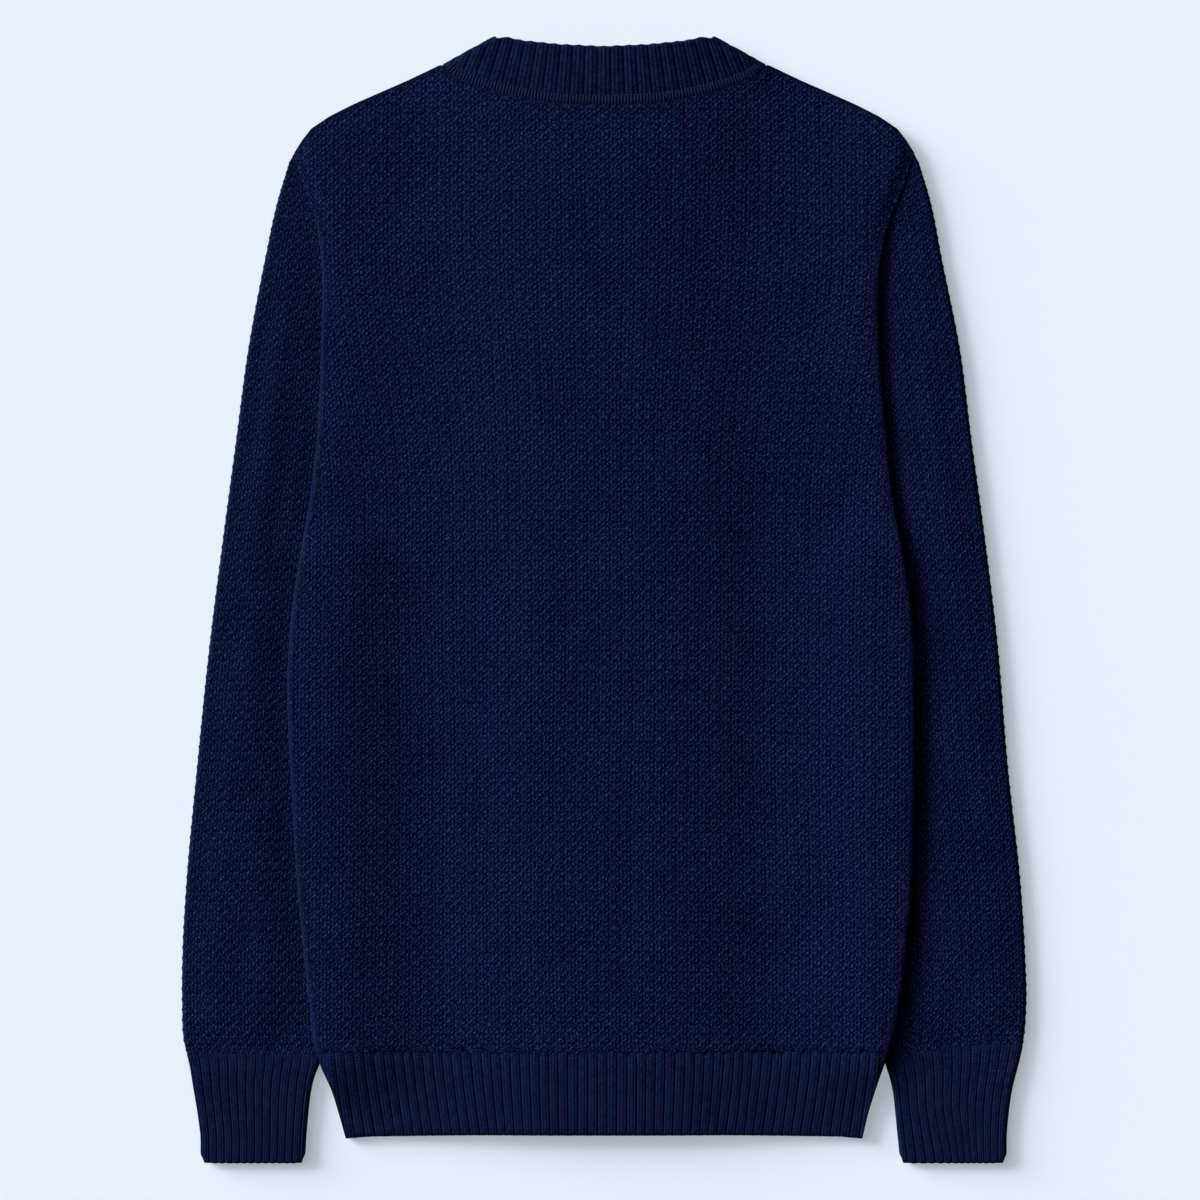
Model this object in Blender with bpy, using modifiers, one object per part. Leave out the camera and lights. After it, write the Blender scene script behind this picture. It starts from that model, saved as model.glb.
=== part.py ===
"""A knitted cardigan, laid flat on its front, back up, neck towards +Y.

The sleeves lie straight down beside the body, their inner edges under it. Sizes are in millimetres
and are scaled to metres as each mesh is made. The origin is on the floor, under the middle of the
garment's outline; the floor is z = 0. "Left" is the wearer's left, which is at -X.
"""

import math
from collections import namedtuple

import bmesh
import bpy
import numpy as np

MM = 0.001

# Cloth
CLOTH = 2.4            # wall of the textured knit, and of a plain rib
PLY_GAP = 0.8          # air between two layers that lie on each other
SEAM_GAP = 0.3         # clearance at a seam
RIB_GROOVE = 2.0       # wall in the groove between two ribs
RIB_CREST = 3.2        # wall on a rib
TUBE = 2 * CLOTH + PLY_GAP          # a sleeve laid flat
STEP_UP = TUBE + SEAM_GAP           # how far the body rises to lie on a sleeve
LAP_RISE = STEP_UP - CLOTH - PLY_GAP    # the same for the back alone, over the sleeve's upper layer
STEP_RUN = 17.0        # width of that rise
FRONT_LEAD = 3.5       # how far inside the sleeve's edge the front is fully up
BACK_LEAD = 7.0        # the same for the back
SLEEVE_CROWN = 1.2     # fullness in the middle of a sleeve
HEM_CORNER_Y = -345.0  # below this the body's edge has left the sleeve and lies level again
HEM_CORNER_RUN = 45.0

# How each edge of a panel rounds off: distance in from the edge, and the share of the wall left there
NOSE = ((0.0, 0.35), (0.8, 0.8), (2.4, 1.0))

# Heights along the garment
SEAM_TOP = 299.0       # upper end of the armhole seam
SLEEVE_TOP = 288.0     # upper end of the sleeve's outer fold
UNDERARM = 60.0
UNDERARM_RUN = 35.0    # the body climbs onto the sleeve over this length below the underarm
RIB_LINE = -297.0      # where the body's knit meets the hem rib
HEM = -355.0
CUFF_END = -371.3
CUFF_LINE = {"left": (-299.2, -299.2), "right": (-293.7, -304.7)}    # cuff seam, outer and inner end
SHOULDER_SLANT = 0.12  # share of the sleeve's length over which its rows turn level
CUFF_CORNER = 3.6      # how far a cuff's lower corners round up
CUFF_CORNER_REACH = 6.0
SHOULDER_PLACE = 132.0      # a column of points part way along the shoulder

# Neck
NECK_HALF = 107.7      # the neck point at the shoulder
NECK_POINT_Y = 352.2
FRONT_NECK_DROP = 90.0
BAND_CORNER = (71.7, 371.3)     # where the neckband folds over at the sides
FRONT_BAND_DROP = 74.3
NECK_RIBS = 22
NECK_CLEARANCE = 2.5 * SEAM_GAP     # between the back's neck edge and the neckband's foot
NECK_FOLD = 2.6        # how far the band's side fold reaches past its fold line
NECK_FOLD_INSET = 1.6  # the fold line starts this far along from the neck point

# Front bands and buttons
BAND_WIDTH = 30.0
BUTTON_THICK = 2.4
BUTTON_DIAMETER = 18.0
BUTTONS = 7
FIRST_BUTTON = 281.0
LAST_BUTTON = -336.0
THREAD_HOLE = 1.6
THREAD_CIRCLE = 2.7    # radius on which the four holes lie
SHANK = 1.3            # radius of the thread stem behind a button
BUTTON_ROUND = 0.8     # rounding of a button's edge
BUTTON_RIM = 2.0       # width of the rim round its dished face
BUTTON_DISH = 0.7
BUTTONHOLE = (3.2, 20.0)
BAND_ROUND = 0.7       # rounding of a front band's edges
LOWER_BAND = BUTTON_THICK + SEAM_GAP            # underside of the buttonhole band
UPPER_BAND = LOWER_BAND + CLOTH + SEAM_GAP      # underside of the button band
RISE_LEFT = 95.0       # how far from the band the left front takes to reach the floor
RISE_RIGHT = 95.0
RISE_BACK = 138.0      # the same for the back, from its level middle
BACK_LEVEL = 22.0      # half width of that middle

# Ribs
HEM_RIBS = 57
CUFF_RIBS = 14
HEM_RIB_SPAN = (0.016, 0.984)       # shares of the width between the plain edge stitches
CUFF_RIB_SPAN = (0.045, 0.965)

Edge = namedtuple("Edge", "y left right")
Point = namedtuple("Point", "x y")

BODY_EDGE = (
    Edge(294.0, -204.3, 204.3),
    Edge(280.0, -200.5, 200.0),
    Edge(266.0, -195.0, 195.0),
    Edge(245.0, -189.0, 187.0),
    Edge(220.0, -186.0, 182.0),
    Edge(165.0, -186.5, 181.5),
    Edge(115.0, -188.5, 185.5),
    Edge(72.0, -193.0, 190.0),
    Edge(35.0, -199.0, 196.0),
    Edge(-5.0, -205.0, 202.0),
    Edge(-50.0, -208.3, 203.8),
    Edge(-90.0, -207.5, 204.0),
    Edge(-130.0, -205.3, 203.8),
    Edge(-190.0, -201.7, 202.0),
    Edge(-235.0, -197.3, 198.3),
    Edge(-265.0, -194.0, 194.5),
    Edge(-297.0, -189.5, 187.2),
    Edge(-305.0, -186.9, 184.0),
    Edge(-322.0, -179.7, 178.5),
    Edge(-338.0, -175.0, 174.0),
    Edge(-355.0, -170.3, 170.1),
)

SLEEVE_OUTER = (
    Edge(289.0, -207.6, 207.3),
    Edge(264.0, -215.3, 215.0),
    Edge(224.0, -224.0, 223.0),
    Edge(165.0, -235.0, 234.8),
    Edge(105.0, -243.0, 242.5),
    Edge(45.0, -251.0, 250.7),
    Edge(-30.0, -260.5, 259.7),
    Edge(-110.0, -268.7, 266.4),
    Edge(-190.0, -276.0, 275.0),
    Edge(-235.0, -278.4, 277.8),
    Edge(-265.0, -278.6, 278.6),
    Edge(-292.0, -277.2, 276.4),
    Edge(-306.0, -273.5, 273.1),
    Edge(-322.0, -270.8, 269.0),
    Edge(-338.0, -268.1, 266.6),
    Edge(-354.0, -266.2, 265.3),
    Edge(-371.3, -266.0, 265.2),
)

# Above the underarm this is the armhole seam, which the back laps; below it, the sleeve's inner fold
SLEEVE_INNER = (
    Edge(299.0, -200.4, 200.2),
    Edge(280.0, -195.0, 194.5),
    Edge(266.0, -189.2, 189.2),
    Edge(245.0, -183.0, 181.0),
    Edge(220.0, -180.0, 176.0),
    Edge(165.0, -180.5, 175.5),
    Edge(115.0, -182.5, 179.5),
    Edge(60.0, -188.9, 185.8),
    Edge(15.0, -189.5, 186.5),
    Edge(-50.0, -194.3, 189.8),
    Edge(-90.0, -193.5, 190.0),
    Edge(-190.0, -187.7, 188.0),
    Edge(-260.0, -185.6, 186.0),
    Edge(-297.0, -186.0, 183.7),
    Edge(-306.0, -187.6, 185.2),
    Edge(-314.0, -190.9, 187.9),
    Edge(-322.0, -192.9, 189.9),
    Edge(-338.0, -195.0, 191.9),
    Edge(-354.0, -196.3, 193.3),
    Edge(-371.3, -197.0, 194.6),
)

# Half outlines, from the centre or the neck point outwards
SHOULDER = (
    Point(107.7, 352.2),
    Point(130.0, 341.7),
    Point(148.0, 333.8),
    Point(165.6, 325.9),
    Point(181.0, 318.0),
    Point(192.8, 310.0),
    Point(199.3, 302.0),
    Point(204.3, 294.0),
)

BACK_NECK_SEAM = (
    Point(0.0, 325.0),
    Point(31.0, 326.4),
    Point(53.0, 329.6),
    Point(73.0, 334.4),
    Point(91.0, 340.8),
    Point(101.0, 345.5),
    Point(107.7, 352.2),
)

BACK_BAND_EDGE = (
    Point(0.0, 363.8),
    Point(30.0, 365.2),
    Point(54.0, 367.8),
    Point(64.0, 370.0),
    Point(71.7, 371.3),
)

NAVY = (0.012, 0.02, 0.075, 1.0)
NAVY_RIB = (0.014, 0.024, 0.085, 1.0)
HORN = (0.02, 0.022, 0.035, 1.0)


# ---------------------------------------------------------------------------------------- helpers

def ease(value):
    """Smooth step from 0 to 1."""
    t = np.clip(value, 0.0, 1.0)
    return t * t * (3.0 - 2.0 * t)


def curve(xs, ys, at):
    """A smooth curve through rows of a table, read at one or more places."""
    order = np.argsort(xs)
    xs = np.asarray(xs, float)[order]
    ys = np.asarray(ys, float)[order]
    slopes = np.gradient(ys, xs)
    at = np.clip(np.asarray(at, float), xs[0], xs[-1])
    low = np.clip(np.searchsorted(xs, at, side="right") - 1, 0, len(xs) - 2)
    span = xs[low + 1] - xs[low]
    t = (at - xs[low]) / span
    return (
        ys[low] * (1 + 2 * t) * (1 - t) ** 2
        + slopes[low] * span * t * (1 - t) ** 2
        + ys[low + 1] * t ** 2 * (3 - 2 * t)
        + slopes[low + 1] * span * t ** 2 * (t - 1)
    )


def edge_at(table, y, side):
    """X of an edge table at a height; side is "left" or "right"."""
    return curve([row.y for row in table], [getattr(row, side) for row in table], y)


def outline_at(points, x):
    """Y of a half outline, mirrored about the centre, at x."""
    return np.interp(np.abs(x), [p.x for p in points], [p.y for p in points])


# ------------------------------------------------------------------------------ lie of the layers

def underarm_blend(y):
    """0 above the underarm, 1 where the whole body lies on the sleeve."""
    return ease((UNDERARM - y) / UNDERARM_RUN)


def over_sleeve(x, y, lead):
    """0 on the open floor, 1 where a panel is over a sleeve's inner edge.

    lead is how far inside the sleeve's edge the panel has reached its full height.
    """
    inner = np.where(x < 0, -edge_at(SLEEVE_INNER, y, "left"), edge_at(SLEEVE_INNER, y, "right"))
    above_hem_corner = ease((y - HEM_CORNER_Y) / HEM_CORNER_RUN)
    return ease((np.abs(x) - inner + lead + STEP_RUN) / STEP_RUN) * above_hem_corner


def front_lift(x, y, side):
    """Height of a front's underside over the floor."""
    if side == "left":
        centre = LOWER_BAND * ease((x + BAND_WIDTH / 2 + RISE_LEFT) / RISE_LEFT)
    else:
        centre = UPPER_BAND * ease((RISE_RIGHT + BAND_WIDTH / 2 - x) / RISE_RIGHT)
    return centre + STEP_UP * underarm_blend(y) * over_sleeve(x, y, FRONT_LEAD)


def back_lift(x, y):
    """Height of the back's underside over the floor."""
    centre = UPPER_BAND * ease((RISE_BACK + BACK_LEVEL - np.abs(x)) / RISE_BACK)
    side_rise = LAP_RISE + (STEP_UP - LAP_RISE) * underarm_blend(y)
    return CLOTH + PLY_GAP + centre + side_rise * over_sleeve(x, y, BACK_LEAD)


# ------------------------------------------------------------------------------------ mesh making

def material(name, colour, roughness):
    """A plain Principled material."""
    made = bpy.data.materials.new(name)
    made.use_nodes = True
    shader = made.node_tree.nodes["Principled BSDF"]
    shader.inputs["Base Color"].default_value = colour
    shader.inputs["Roughness"].default_value = roughness
    shader.inputs["Metallic"].default_value = 0.0
    made.diffuse_color = colour
    return made


def add_object(name, mesh, finish, collection):
    """Link a mesh as one named piece."""
    mesh.materials.append(finish)
    piece = bpy.data.objects.new(name, mesh)
    collection.objects.link(piece)
    return piece


def wall(name, outer, inner, finish, collection, closed_from=None):
    """One closed wall of cloth between an outer and an inner grid of points.

    The grids are rows of columns. From the row closed_from on, the last column is the first one, so
    the wall is a tube there; above it the tube is slit.
    """
    rows, columns = outer.shape[:2]
    if closed_from is None:
        closed_from = rows
    bm = bmesh.new()
    skins = []
    for grid in (outer, inner):
        skin = []
        for i in range(rows):
            own = columns - 1 if i >= closed_from else columns
            row = [bm.verts.new(grid[i, j] * MM) for j in range(own)]
            if i >= closed_from:
                row.append(row[0])
            skin.append(row)
        skins.append(skin)
    out, inn = skins
    for i in range(rows - 1):
        for j in range(columns - 1):
            bm.faces.new((out[i][j], out[i][j + 1], out[i + 1][j + 1], out[i + 1][j]))
            bm.faces.new((inn[i][j], inn[i + 1][j], inn[i + 1][j + 1], inn[i][j + 1]))
        if i < closed_from:
            bm.faces.new((out[i][0], out[i + 1][0], inn[i + 1][0], inn[i][0]))
            bm.faces.new((out[i][-1], inn[i][-1], inn[i + 1][-1], out[i + 1][-1]))
    for j in range(columns - 1):
        bm.faces.new((out[0][j], inn[0][j], inn[0][j + 1], out[0][j + 1]))
        bm.faces.new((out[-1][j], out[-1][j + 1], inn[-1][j + 1], inn[-1][j]))
    bmesh.ops.recalc_face_normals(bm, faces=bm.faces)
    mesh = bpy.data.meshes.new(name)
    bm.to_mesh(mesh)
    bm.free()
    mesh.shade_smooth()
    mesh.set_sharp_from_angle(angle=math.radians(50.0))
    return add_object(name, mesh, finish, collection)


def grid3(x, y, z):
    """Stack plan and height arrays into a grid of points."""
    return np.stack(np.broadcast_arrays(x, y, z), axis=-1)


# ----------------------------------------------------------------------------------- flat panels

class Panel:
    """A four-sided knitted panel in plan: two side edges, a top and a bottom outline.

    Columns are (share across, offset in mm) and rows are (share down, offset in mm), so that the
    rounded edges keep their size while the rest follows the panel's width.
    """

    def __init__(self, columns, rows, left, right, top, bottom):
        share = np.array([c[0] for c in columns])
        shift = np.array([c[1] for c in columns])
        down = np.array([r[0] for r in rows])
        drop = np.array([r[1] for r in rows])
        left_x = self.side(left, down, top, bottom)
        right_x = self.side(right, down, top, bottom)
        self.x = left_x[:, None] * (1 - share) + right_x[:, None] * share + shift
        upper = top(self.x[0])
        lower = bottom(self.x[-1])
        self.y = upper + (lower - upper) * down[:, None] - drop[:, None]

    @staticmethod
    def side(edge, down, top, bottom):
        """X of a side edge at each row."""
        y_top = float(top(edge.at(edge.top_y)))
        y_low = float(bottom(edge.at(edge.low_y)))
        return edge.at(y_top + (y_low - y_top) * down)


class BodyEdge:
    """The body's side, down to a given height."""

    def __init__(self, side, top_y=BODY_EDGE[0].y, low_y=RIB_LINE):
        self.side = side
        self.top_y = top_y
        self.low_y = low_y

    def at(self, y):
        """X at a height."""
        return edge_at(BODY_EDGE, y, self.side)


class ArmholeEdge:
    """A front's outer edge: the armhole seam, then out over the sleeve to the body's side."""

    def __init__(self, side):
        self.side = side
        self.sign = 1.0 if side == "left" else -1.0
        self.top_y = SEAM_TOP
        self.low_y = RIB_LINE

    def at(self, y):
        """X at a height."""
        seam = edge_at(SLEEVE_INNER, y, self.side) + self.sign * (SEAM_GAP + 0.1)
        grown = ease((UNDERARM - UNDERARM_RUN - y) / (2.0 * UNDERARM_RUN))
        return seam + (edge_at(BODY_EDGE, y, self.side) - seam) * grown


class FrontBandEdge:
    """A front's inner edge, straight along its front band."""

    def __init__(self, side):
        self.sign = -1.0 if side == "left" else 1.0
        self.top_y = NECK_POINT_Y - FRONT_NECK_DROP
        self.low_y = RIB_LINE

    def at(self, y):
        """X at a height."""
        return self.sign * (BAND_WIDTH / 2 + SEAM_GAP) + 0.0 * np.asarray(y)


def rib_line(x):
    """The level seam between the knit and the hem rib."""
    return RIB_LINE + 0.0 * x


def rib_top(x):
    """The hem rib's upper edge, just below that seam."""
    return RIB_LINE - SEAM_GAP + 0.0 * x


def hem_bottom(x):
    """The hem's lower edge."""
    return HEM + 0.0 * x


def side_columns(side):
    """Columns that round a side edge and step up over the sleeve."""
    steps = [NOSE[0][0], NOSE[1][0], NOSE[2][0], 7.0, 12.0, 17.0, 22.0, 28.0, 36.0]
    if side == "left":
        return [(0.0, d) for d in steps]
    return [(1.0, -d) for d in reversed(steps)]


def nose_share(columns, rows, left=True, right=True, top=None, bottom=False):
    """How much of the wall is left at each grid point, rounding the chosen edges.

    top is None or one truth value for each column.
    """
    distance = [d for d, _ in NOSE]
    share = [s for _, s in NOSE]
    across = np.ones(len(columns))
    for j, (part, shift) in enumerate(columns):
        if left and part == 0.0:
            across[j] = np.interp(shift, distance, share)
        if right and part == 1.0:
            across[j] = np.interp(-shift, distance, share)
    down = np.ones((len(rows), len(columns)))
    for i, (part, drop) in enumerate(rows):
        if top is not None and part == 0.0:
            edge = np.interp(drop, distance, share)
            down[i] = np.where(top, edge, 1.0)
        if bottom and part == 1.0:
            down[i] = np.interp(-drop, distance, share)
    return np.minimum(across[None, :], down)


# Shares of a front's round neck edge at which it has points
FRONT_STATIONS = (0.1, 0.24, 0.38, 0.52, 0.66, 0.79)
# Rows down a panel: shares of its height, close together where the body climbs onto the sleeves
BODY_SHARES = (
    0.025, 0.06, 0.11, 0.19, 0.28, 0.35, 0.4, 0.43, 0.455,
    0.48, 0.505, 0.535, 0.575, 0.65, 0.77, 0.91, 1.0,
)
BODY_ROWS = [(0.0, 0.0), (0.0, 2.4)] + [(share, 0.0) for share in BODY_SHARES]


def back_top(x):
    """The back's upper outline: shoulders, and the neck seam between them."""
    neck = outline_at(BACK_NECK_SEAM, x) - NECK_CLEARANCE
    return np.where(np.abs(x) < NECK_HALF, neck, outline_at(SHOULDER, x))


def build_back(finish, collection):
    """The back panel, on top of the fronts, lapping the sleeves."""
    width = 2 * SHOULDER[-1].x
    half = (20.0, 42.0, 63.0, 80.0, 92.0, 101.0, NECK_HALF + 0.1, SHOULDER_PLACE)
    places = [-x for x in reversed(half)] + [0.0] + list(half)
    middle = [((x + width / 2) / width, 0.0) for x in places]
    columns = side_columns("left") + middle + side_columns("right")
    plan = Panel(columns, BODY_ROWS, BodyEdge("left"), BodyEdge("right"), back_top, rib_line)
    rounded_top = np.abs(plan.x[0]) > NECK_HALF
    nose = nose_share(columns, BODY_ROWS, top=rounded_top)
    under = back_lift(plan.x, plan.y)
    inner = grid3(plan.x, plan.y, under)
    outer = grid3(plan.x, plan.y, under + CLOTH * nose)
    wall("back", outer, inner, finish, collection)


def front_top(x):
    """A front's upper outline: the shoulder, and the round front neck seam."""
    half = NECK_HALF + SEAM_GAP
    reach = np.clip(np.abs(x) / half, 0.0, 1.0)
    neck = NECK_POINT_Y - (FRONT_NECK_DROP + SEAM_GAP) * np.sqrt(1.0 - reach ** 2)
    return np.where(np.abs(x) < half, neck, outline_at(SHOULDER, x))


def build_front(side, finish, collection):
    """One front panel, face down on the floor, on the sleeve at its side and on its band's level."""
    outer_edge = ArmholeEdge(side)
    inner_edge = FrontBandEdge(side)
    corner = abs(float(outer_edge.at(outer_edge.top_y)))
    band = BAND_WIDTH / 2 + SEAM_GAP
    angles = [0.01] + [math.degrees(Neckband.foot_angle(share)) for share in FRONT_STATIONS]
    neck = [math.cos(math.radians(a)) * (NECK_HALF + SEAM_GAP) for a in angles]
    places = [SHOULDER_PLACE, NECK_HALF + 1.0] + neck
    middle = [((corner - x) / (corner - band), 0.0) for x in places] + [(1.0, 0.0)]
    columns = side_columns("left") + middle
    if side == "right":
        columns = [(1.0 - part, -shift) for part, shift in reversed(columns)]
        plan = Panel(columns, BODY_ROWS, inner_edge, outer_edge, front_top, rib_line)
    else:
        plan = Panel(columns, BODY_ROWS, outer_edge, inner_edge, front_top, rib_line)
    rounded_top = np.abs(plan.x[0]) > NECK_HALF + 2.0
    nose = nose_share(columns, BODY_ROWS, left=side == "left", right=side == "right", top=rounded_top)
    under = front_lift(plan.x, plan.y, side)
    inner = grid3(plan.x, plan.y, under + CLOTH)
    outer = grid3(plan.x, plan.y, under + CLOTH * (1.0 - nose))
    wall("front_" + side, outer, inner, finish, collection)


# ------------------------------------------------------------------------------------------ ribs

def rib_places(start, end, count):
    """Shares of a width at which ribs turn: groove, crest, crest, for each rib, and the last groove."""
    pitch = (end - start) / count
    places = []
    for k in range(count):
        places += [start + pitch * (k + t) for t in (0.0, 0.3, 0.7)]
    return places + [end]


def rib_wall(count):
    """The wall at each of rib_places."""
    return [RIB_GROOVE, RIB_CREST, RIB_CREST] * count + [RIB_GROOVE]


HEM_ROWS = [(0.0, 0.0), (0.3, 0.0), (1.0, -2.4), (1.0, 0.0)]


def build_hem_back(finish, collection):
    """The back's ribbed hem, its ribs raised on the upper side."""
    left = BodyEdge("left", top_y=RIB_LINE - SEAM_GAP, low_y=HEM)
    right = BodyEdge("right", top_y=RIB_LINE - SEAM_GAP, low_y=HEM)
    ribs = rib_places(*HEM_RIB_SPAN, HEM_RIBS)
    ends = [(0.0, 0.0), (0.0, 0.8), (0.0, 2.4)]
    columns = ends + [(part, 0.0) for part in ribs] + [(1.0, -shift) for _, shift in reversed(ends)]
    plan = Panel(columns, HEM_ROWS, left, right, rib_top, hem_bottom)
    nose = nose_share(columns, HEM_ROWS, bottom=True)
    thick = np.array([CLOTH] * len(ends) + rib_wall(HEM_RIBS) + [CLOTH] * len(ends))
    under = back_lift(plan.x, plan.y)
    inner = grid3(plan.x, plan.y, under)
    outer = grid3(plan.x, plan.y, under + thick * nose)
    wall("hem_back", outer, inner, finish, collection)


def build_hem_front(side, finish, collection):
    """One front's hem, flat where it rests."""
    outer_edge = BodyEdge(side, top_y=RIB_LINE - SEAM_GAP, low_y=HEM)
    inner_edge = FrontBandEdge(side)
    columns = side_columns("left") + [(part, 0.0) for part in (0.33, 0.45, 0.6, 0.75, 0.88, 1.0)]
    edges = (outer_edge, inner_edge)
    if side == "right":
        columns = [(1.0 - part, -shift) for part, shift in reversed(columns)]
        edges = (inner_edge, outer_edge)
    plan = Panel(columns, HEM_ROWS, *edges, rib_top, hem_bottom)
    nose = nose_share(columns, HEM_ROWS, left=side == "left", right=side == "right", bottom=True)
    under = front_lift(plan.x, plan.y, side)
    inner = grid3(plan.x, plan.y, under + CLOTH)
    outer = grid3(plan.x, plan.y, under + CLOTH * (1.0 - nose))
    wall("hem_front_" + side, outer, inner, finish, collection)


# ---------------------------------------------------------------------------------------- tubes

FOLD_ANGLES = (90.0, 45.0, 0.0, -45.0, -90.0)


class FlatTube:
    """A tube laid flat between an outer and an inner guide line.

    Each row is a section from the inner guide, over the upper layer, round the outer fold and back
    along the floor. An open row ends in two lips; a closed row ends in the inner fold.
    """

    LOWER = (0.25, 0.5, 0.75)   # shares of the width along the lower layer

    def __init__(self, side, upper, crown):
        self.side = side
        self.upper = upper      # (share of the width, wall) along the upper layer, from the inner side
        self.crown = crown
        self.radius = TUBE / 2

    def section(self, width, is_open, outside):
        """Distances from the inner guide and heights of one row, on one skin."""
        r = self.radius
        reach = r if outside else PLY_GAP / 2
        points = []
        if is_open:
            lip = (0.0, 0.8, r)
            top = TUBE if outside else TUBE - CLOTH
            points += [(d, top) for d in lip]
        else:
            for angle in (0.0, 45.0, 90.0):
                a = math.radians(angle)
                points.append((r - reach * math.cos(a), r + reach * math.sin(a)))
        for share, thick in self.upper:
            d = r + (width - 2 * r) * share
            rise = self.crown * float(ease((d - 20.0) / 22.0) * ease((width - d) / 25.0))
            points.append((d, TUBE - CLOTH + rise + (thick if outside else 0.0)))
        for angle in FOLD_ANGLES:
            a = math.radians(angle)
            points.append((width - r + reach * math.cos(a), r + reach * math.sin(a)))
        for share in self.LOWER:
            points.append((r + (width - 2 * r) * (1 - share), 0.0 if outside else CLOTH))
        if is_open:
            points += [(d, 0.0 if outside else CLOTH) for d in reversed(lip)]
        else:
            for angle in (-90.0, -45.0, 0.0):
                a = math.radians(angle)
                points.append((r - reach * math.cos(a), r + reach * math.sin(a)))
        return points

    def skin(self, rows, outside):
        """All rows of one skin; a row is (outer y, inner y, open, bottom rounding)."""
        grid = []
        for outer_y, inner_y, is_open, rounding in rows:
            start = np.array([float(edge_at(SLEEVE_INNER, inner_y, self.side)), inner_y])
            end = np.array([float(edge_at(SLEEVE_OUTER, outer_y, self.side)), outer_y])
            width = float(np.linalg.norm(end - start))
            along = (end - start) / width
            line = []
            for d, z in self.section(width, is_open, outside):
                x, y = start + along * d
                corner = max(0.0, 1.0 - min(d, width - d) / CUFF_CORNER_REACH)
                line.append((x, y + rounding * corner ** 2, z))
            grid.append(line)
        return np.array(grid)


def sleeve_rows(side):
    """Rows of a sleeve: slanted at the shoulder, level at the underarm, and along the cuff seam."""
    cuff_outer, cuff_inner = CUFF_LINE[side]
    rows = []
    for share in [0.0] + [row[0] for row in BODY_ROWS if row[0] > 0.0]:
        inner_y = SEAM_TOP + (RIB_LINE - SEAM_TOP) * share
        slant = (SEAM_TOP - SLEEVE_TOP) * (1.0 - float(ease(share / SHOULDER_SLANT)))
        rows.append([inner_y - slant, inner_y, inner_y > UNDERARM, 0.0])
    rows[-2][0] += (cuff_outer - cuff_inner) * 0.4
    rows[-1][0] = cuff_outer
    rows[-1][1] = cuff_inner
    return rows


def build_sleeve(side, finish, collection):
    """One sleeve, a flat tube that is slit along the armhole."""
    rows = sleeve_rows(side)
    upper = [(share, CLOTH) for share in (0.12, 0.26, 0.42, 0.58, 0.74, 0.9)]
    tube = FlatTube(side, upper, SLEEVE_CROWN)
    closed_from = sum(1 for row in rows if row[2])
    outer = tube.skin(rows, True)
    inner = tube.skin(rows, False)
    wall("sleeve_" + side, outer, inner, finish, collection, closed_from=closed_from)


def build_cuff(side, finish, collection):
    """One ribbed cuff, a flat tube, its ribs raised on the upper side."""
    top = sleeve_rows(side)[-1]
    rows = []
    for share in (0.0, 0.3, 0.72, 1.0):
        outer_y = top[0] - SEAM_GAP + (CUFF_END - top[0] + SEAM_GAP) * share
        inner_y = top[1] - SEAM_GAP + (CUFF_END - top[1] + SEAM_GAP) * share
        rows.append((outer_y, inner_y, False, CUFF_CORNER * float(ease((share - 0.6) / 0.4))))
    ribs = rib_places(*CUFF_RIB_SPAN, CUFF_RIBS)
    tube = FlatTube(side, list(zip(ribs, rib_wall(CUFF_RIBS))), 0.0)
    outer = tube.skin(rows, True)
    inner = tube.skin(rows, False)
    wall("cuff_" + side, outer, inner, finish, collection, closed_from=0)


# ------------------------------------------------------------------------------------- neckband

# Rows across the neckband: share of its height, and the relief there (1.0 is the rib, below 0 the edge)
BAND_ROWS = ((0.0, 0.9), (0.15, 0.95), (0.19, 0.0), (0.24, 1.0), (1.0, -1.0))


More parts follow.
